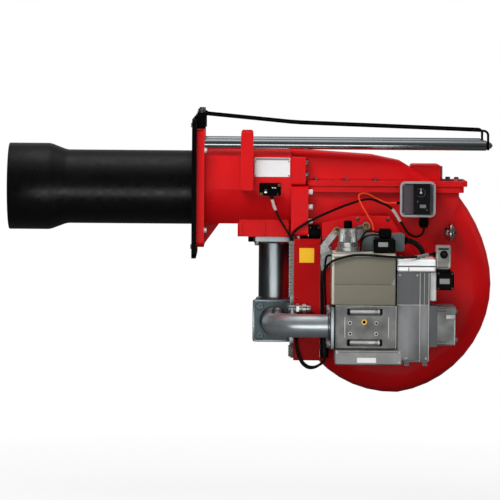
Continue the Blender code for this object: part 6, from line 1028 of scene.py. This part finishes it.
floor_material = bpy.data.materials.new("studio floor")
floor_material.use_nodes = True
tree = floor_material.node_tree
shader = tree.nodes["Principled BSDF"]
path = tree.nodes.new("ShaderNodeLightPath")
tree.links.new(blend_colour(tree, path.outputs["Is Camera Ray"], (0.06, 0.06, 0.06), (0.86, 0.86, 0.86)),
               shader.inputs["Base Color"])
shader.inputs["Roughness"].default_value = 0.8
shader.inputs["Specular IOR Level"].default_value = 0.1
glow = tree.nodes.new("ShaderNodeEmission")
glow.inputs["Color"].default_value = (1, 1, 1, 1)
glow.inputs["Strength"].default_value = 1.0
reach = tree.nodes.new("ShaderNodeVectorMath")
reach.operation = "LENGTH"
tree.links.new(tree.nodes.new("ShaderNodeTexCoord").outputs["Object"], reach.inputs[0])
share = calculate("MULTIPLY", path.outputs["Is Camera Ray"],
                  ramp(tree, reach.outputs["Value"], 0.9, 2.2, 0.72, 1.0))
tree.links.new(mixed(share, shader.outputs[0], glow.outputs[0]), tree.nodes["Material Output"].inputs["Surface"])
floor_mesh = bpy.data.meshes.new("floor")
floor_mesh.from_pydata([(-30, -30, 0), (30, -30, 0), (30, 30, 0), (-30, 30, 0)], [], [(0, 1, 2, 3)])
floor_mesh.materials.append(floor_material)
floor = bpy.data.objects.new("floor", floor_mesh)
floor.location = (0.15, 0, cad_low.z - 0.35)
bpy.context.scene.collection.objects.link(floor)


def lamp(name, place, aim, size, power, mirrored=False):
    data = bpy.data.lights.new(name, "AREA")
    data.shape = "RECTANGLE"
    data.size, data.size_y = size
    data.energy = power
    obj = bpy.data.objects.new(name, data)
    obj.location = place
    obj.rotation_euler = (Vector(aim) - Vector(place)).to_track_quat("-Z", "Y").to_euler()
    obj.visible_glossy, obj.visible_camera = mirrored, False
    bpy.context.scene.collection.objects.link(obj)


centre = (0.15, 0.0, -0.10)
lamp("key", (-0.55, -1.35, 1.25), centre, (1.1, 0.7), 31)
lamp("strip", (0.15, -1.45, -0.42), (0.15, 0, -0.42), (1.6, 0.45), 4.6, mirrored=True)
lamp("front", (0.06, -2.6, 0.10), centre, (0.8, 1.7), 9)
lamp("fill", (1.9, -2.0, 0.7), centre, (0.5, 1.4), 10)
lamp("right", (2.5, 0.2, 0.6), centre, (1.0, 1.2), 16)
lamp("left", (-2.4, 0.1, 0.8), centre, (1.0, 1.2), 16)
lamp("top", (0.25, 0.35, 1.9), centre, (1.6, 0.5), 9)
lamp("back", (0.3, 2.3, 1.3), centre, (2.0, 1.0), 34)

camera_data = bpy.data.cameras.new("camera")
camera = bpy.data.objects.new("camera", camera_data)
bpy.context.scene.collection.objects.link(camera)
bpy.context.scene.camera = camera
ACROSS, AWAY = 1.225, 8.5
camera_data.sensor_width = 36
camera_data.lens = 36 * AWAY / ACROSS
camera_data.clip_start, camera_data.clip_end = 0.1, 200
rise, roll = math.radians(3.3), math.radians(0.45)
forward = Vector((0, math.cos(rise), -math.sin(rise)))
right, up = Vector((1, 0, 0)), Vector((0, math.sin(rise), math.cos(rise)))
cam_right = right * math.cos(roll) + up * math.sin(roll)
cam_up = up * math.cos(roll) - right * math.sin(roll)
target = Vector((0.1416, 0, -0.1532))
spot = target - forward * AWAY
camera.matrix_world = Matrix((
    (cam_right.x, cam_up.x, -forward.x, spot.x),
    (cam_right.y, cam_up.y, -forward.y, spot.y),
    (cam_right.z, cam_up.z, -forward.z, spot.z),
    (0, 0, 0, 1)))

bpy.context.scene.view_settings.view_transform = "Standard"
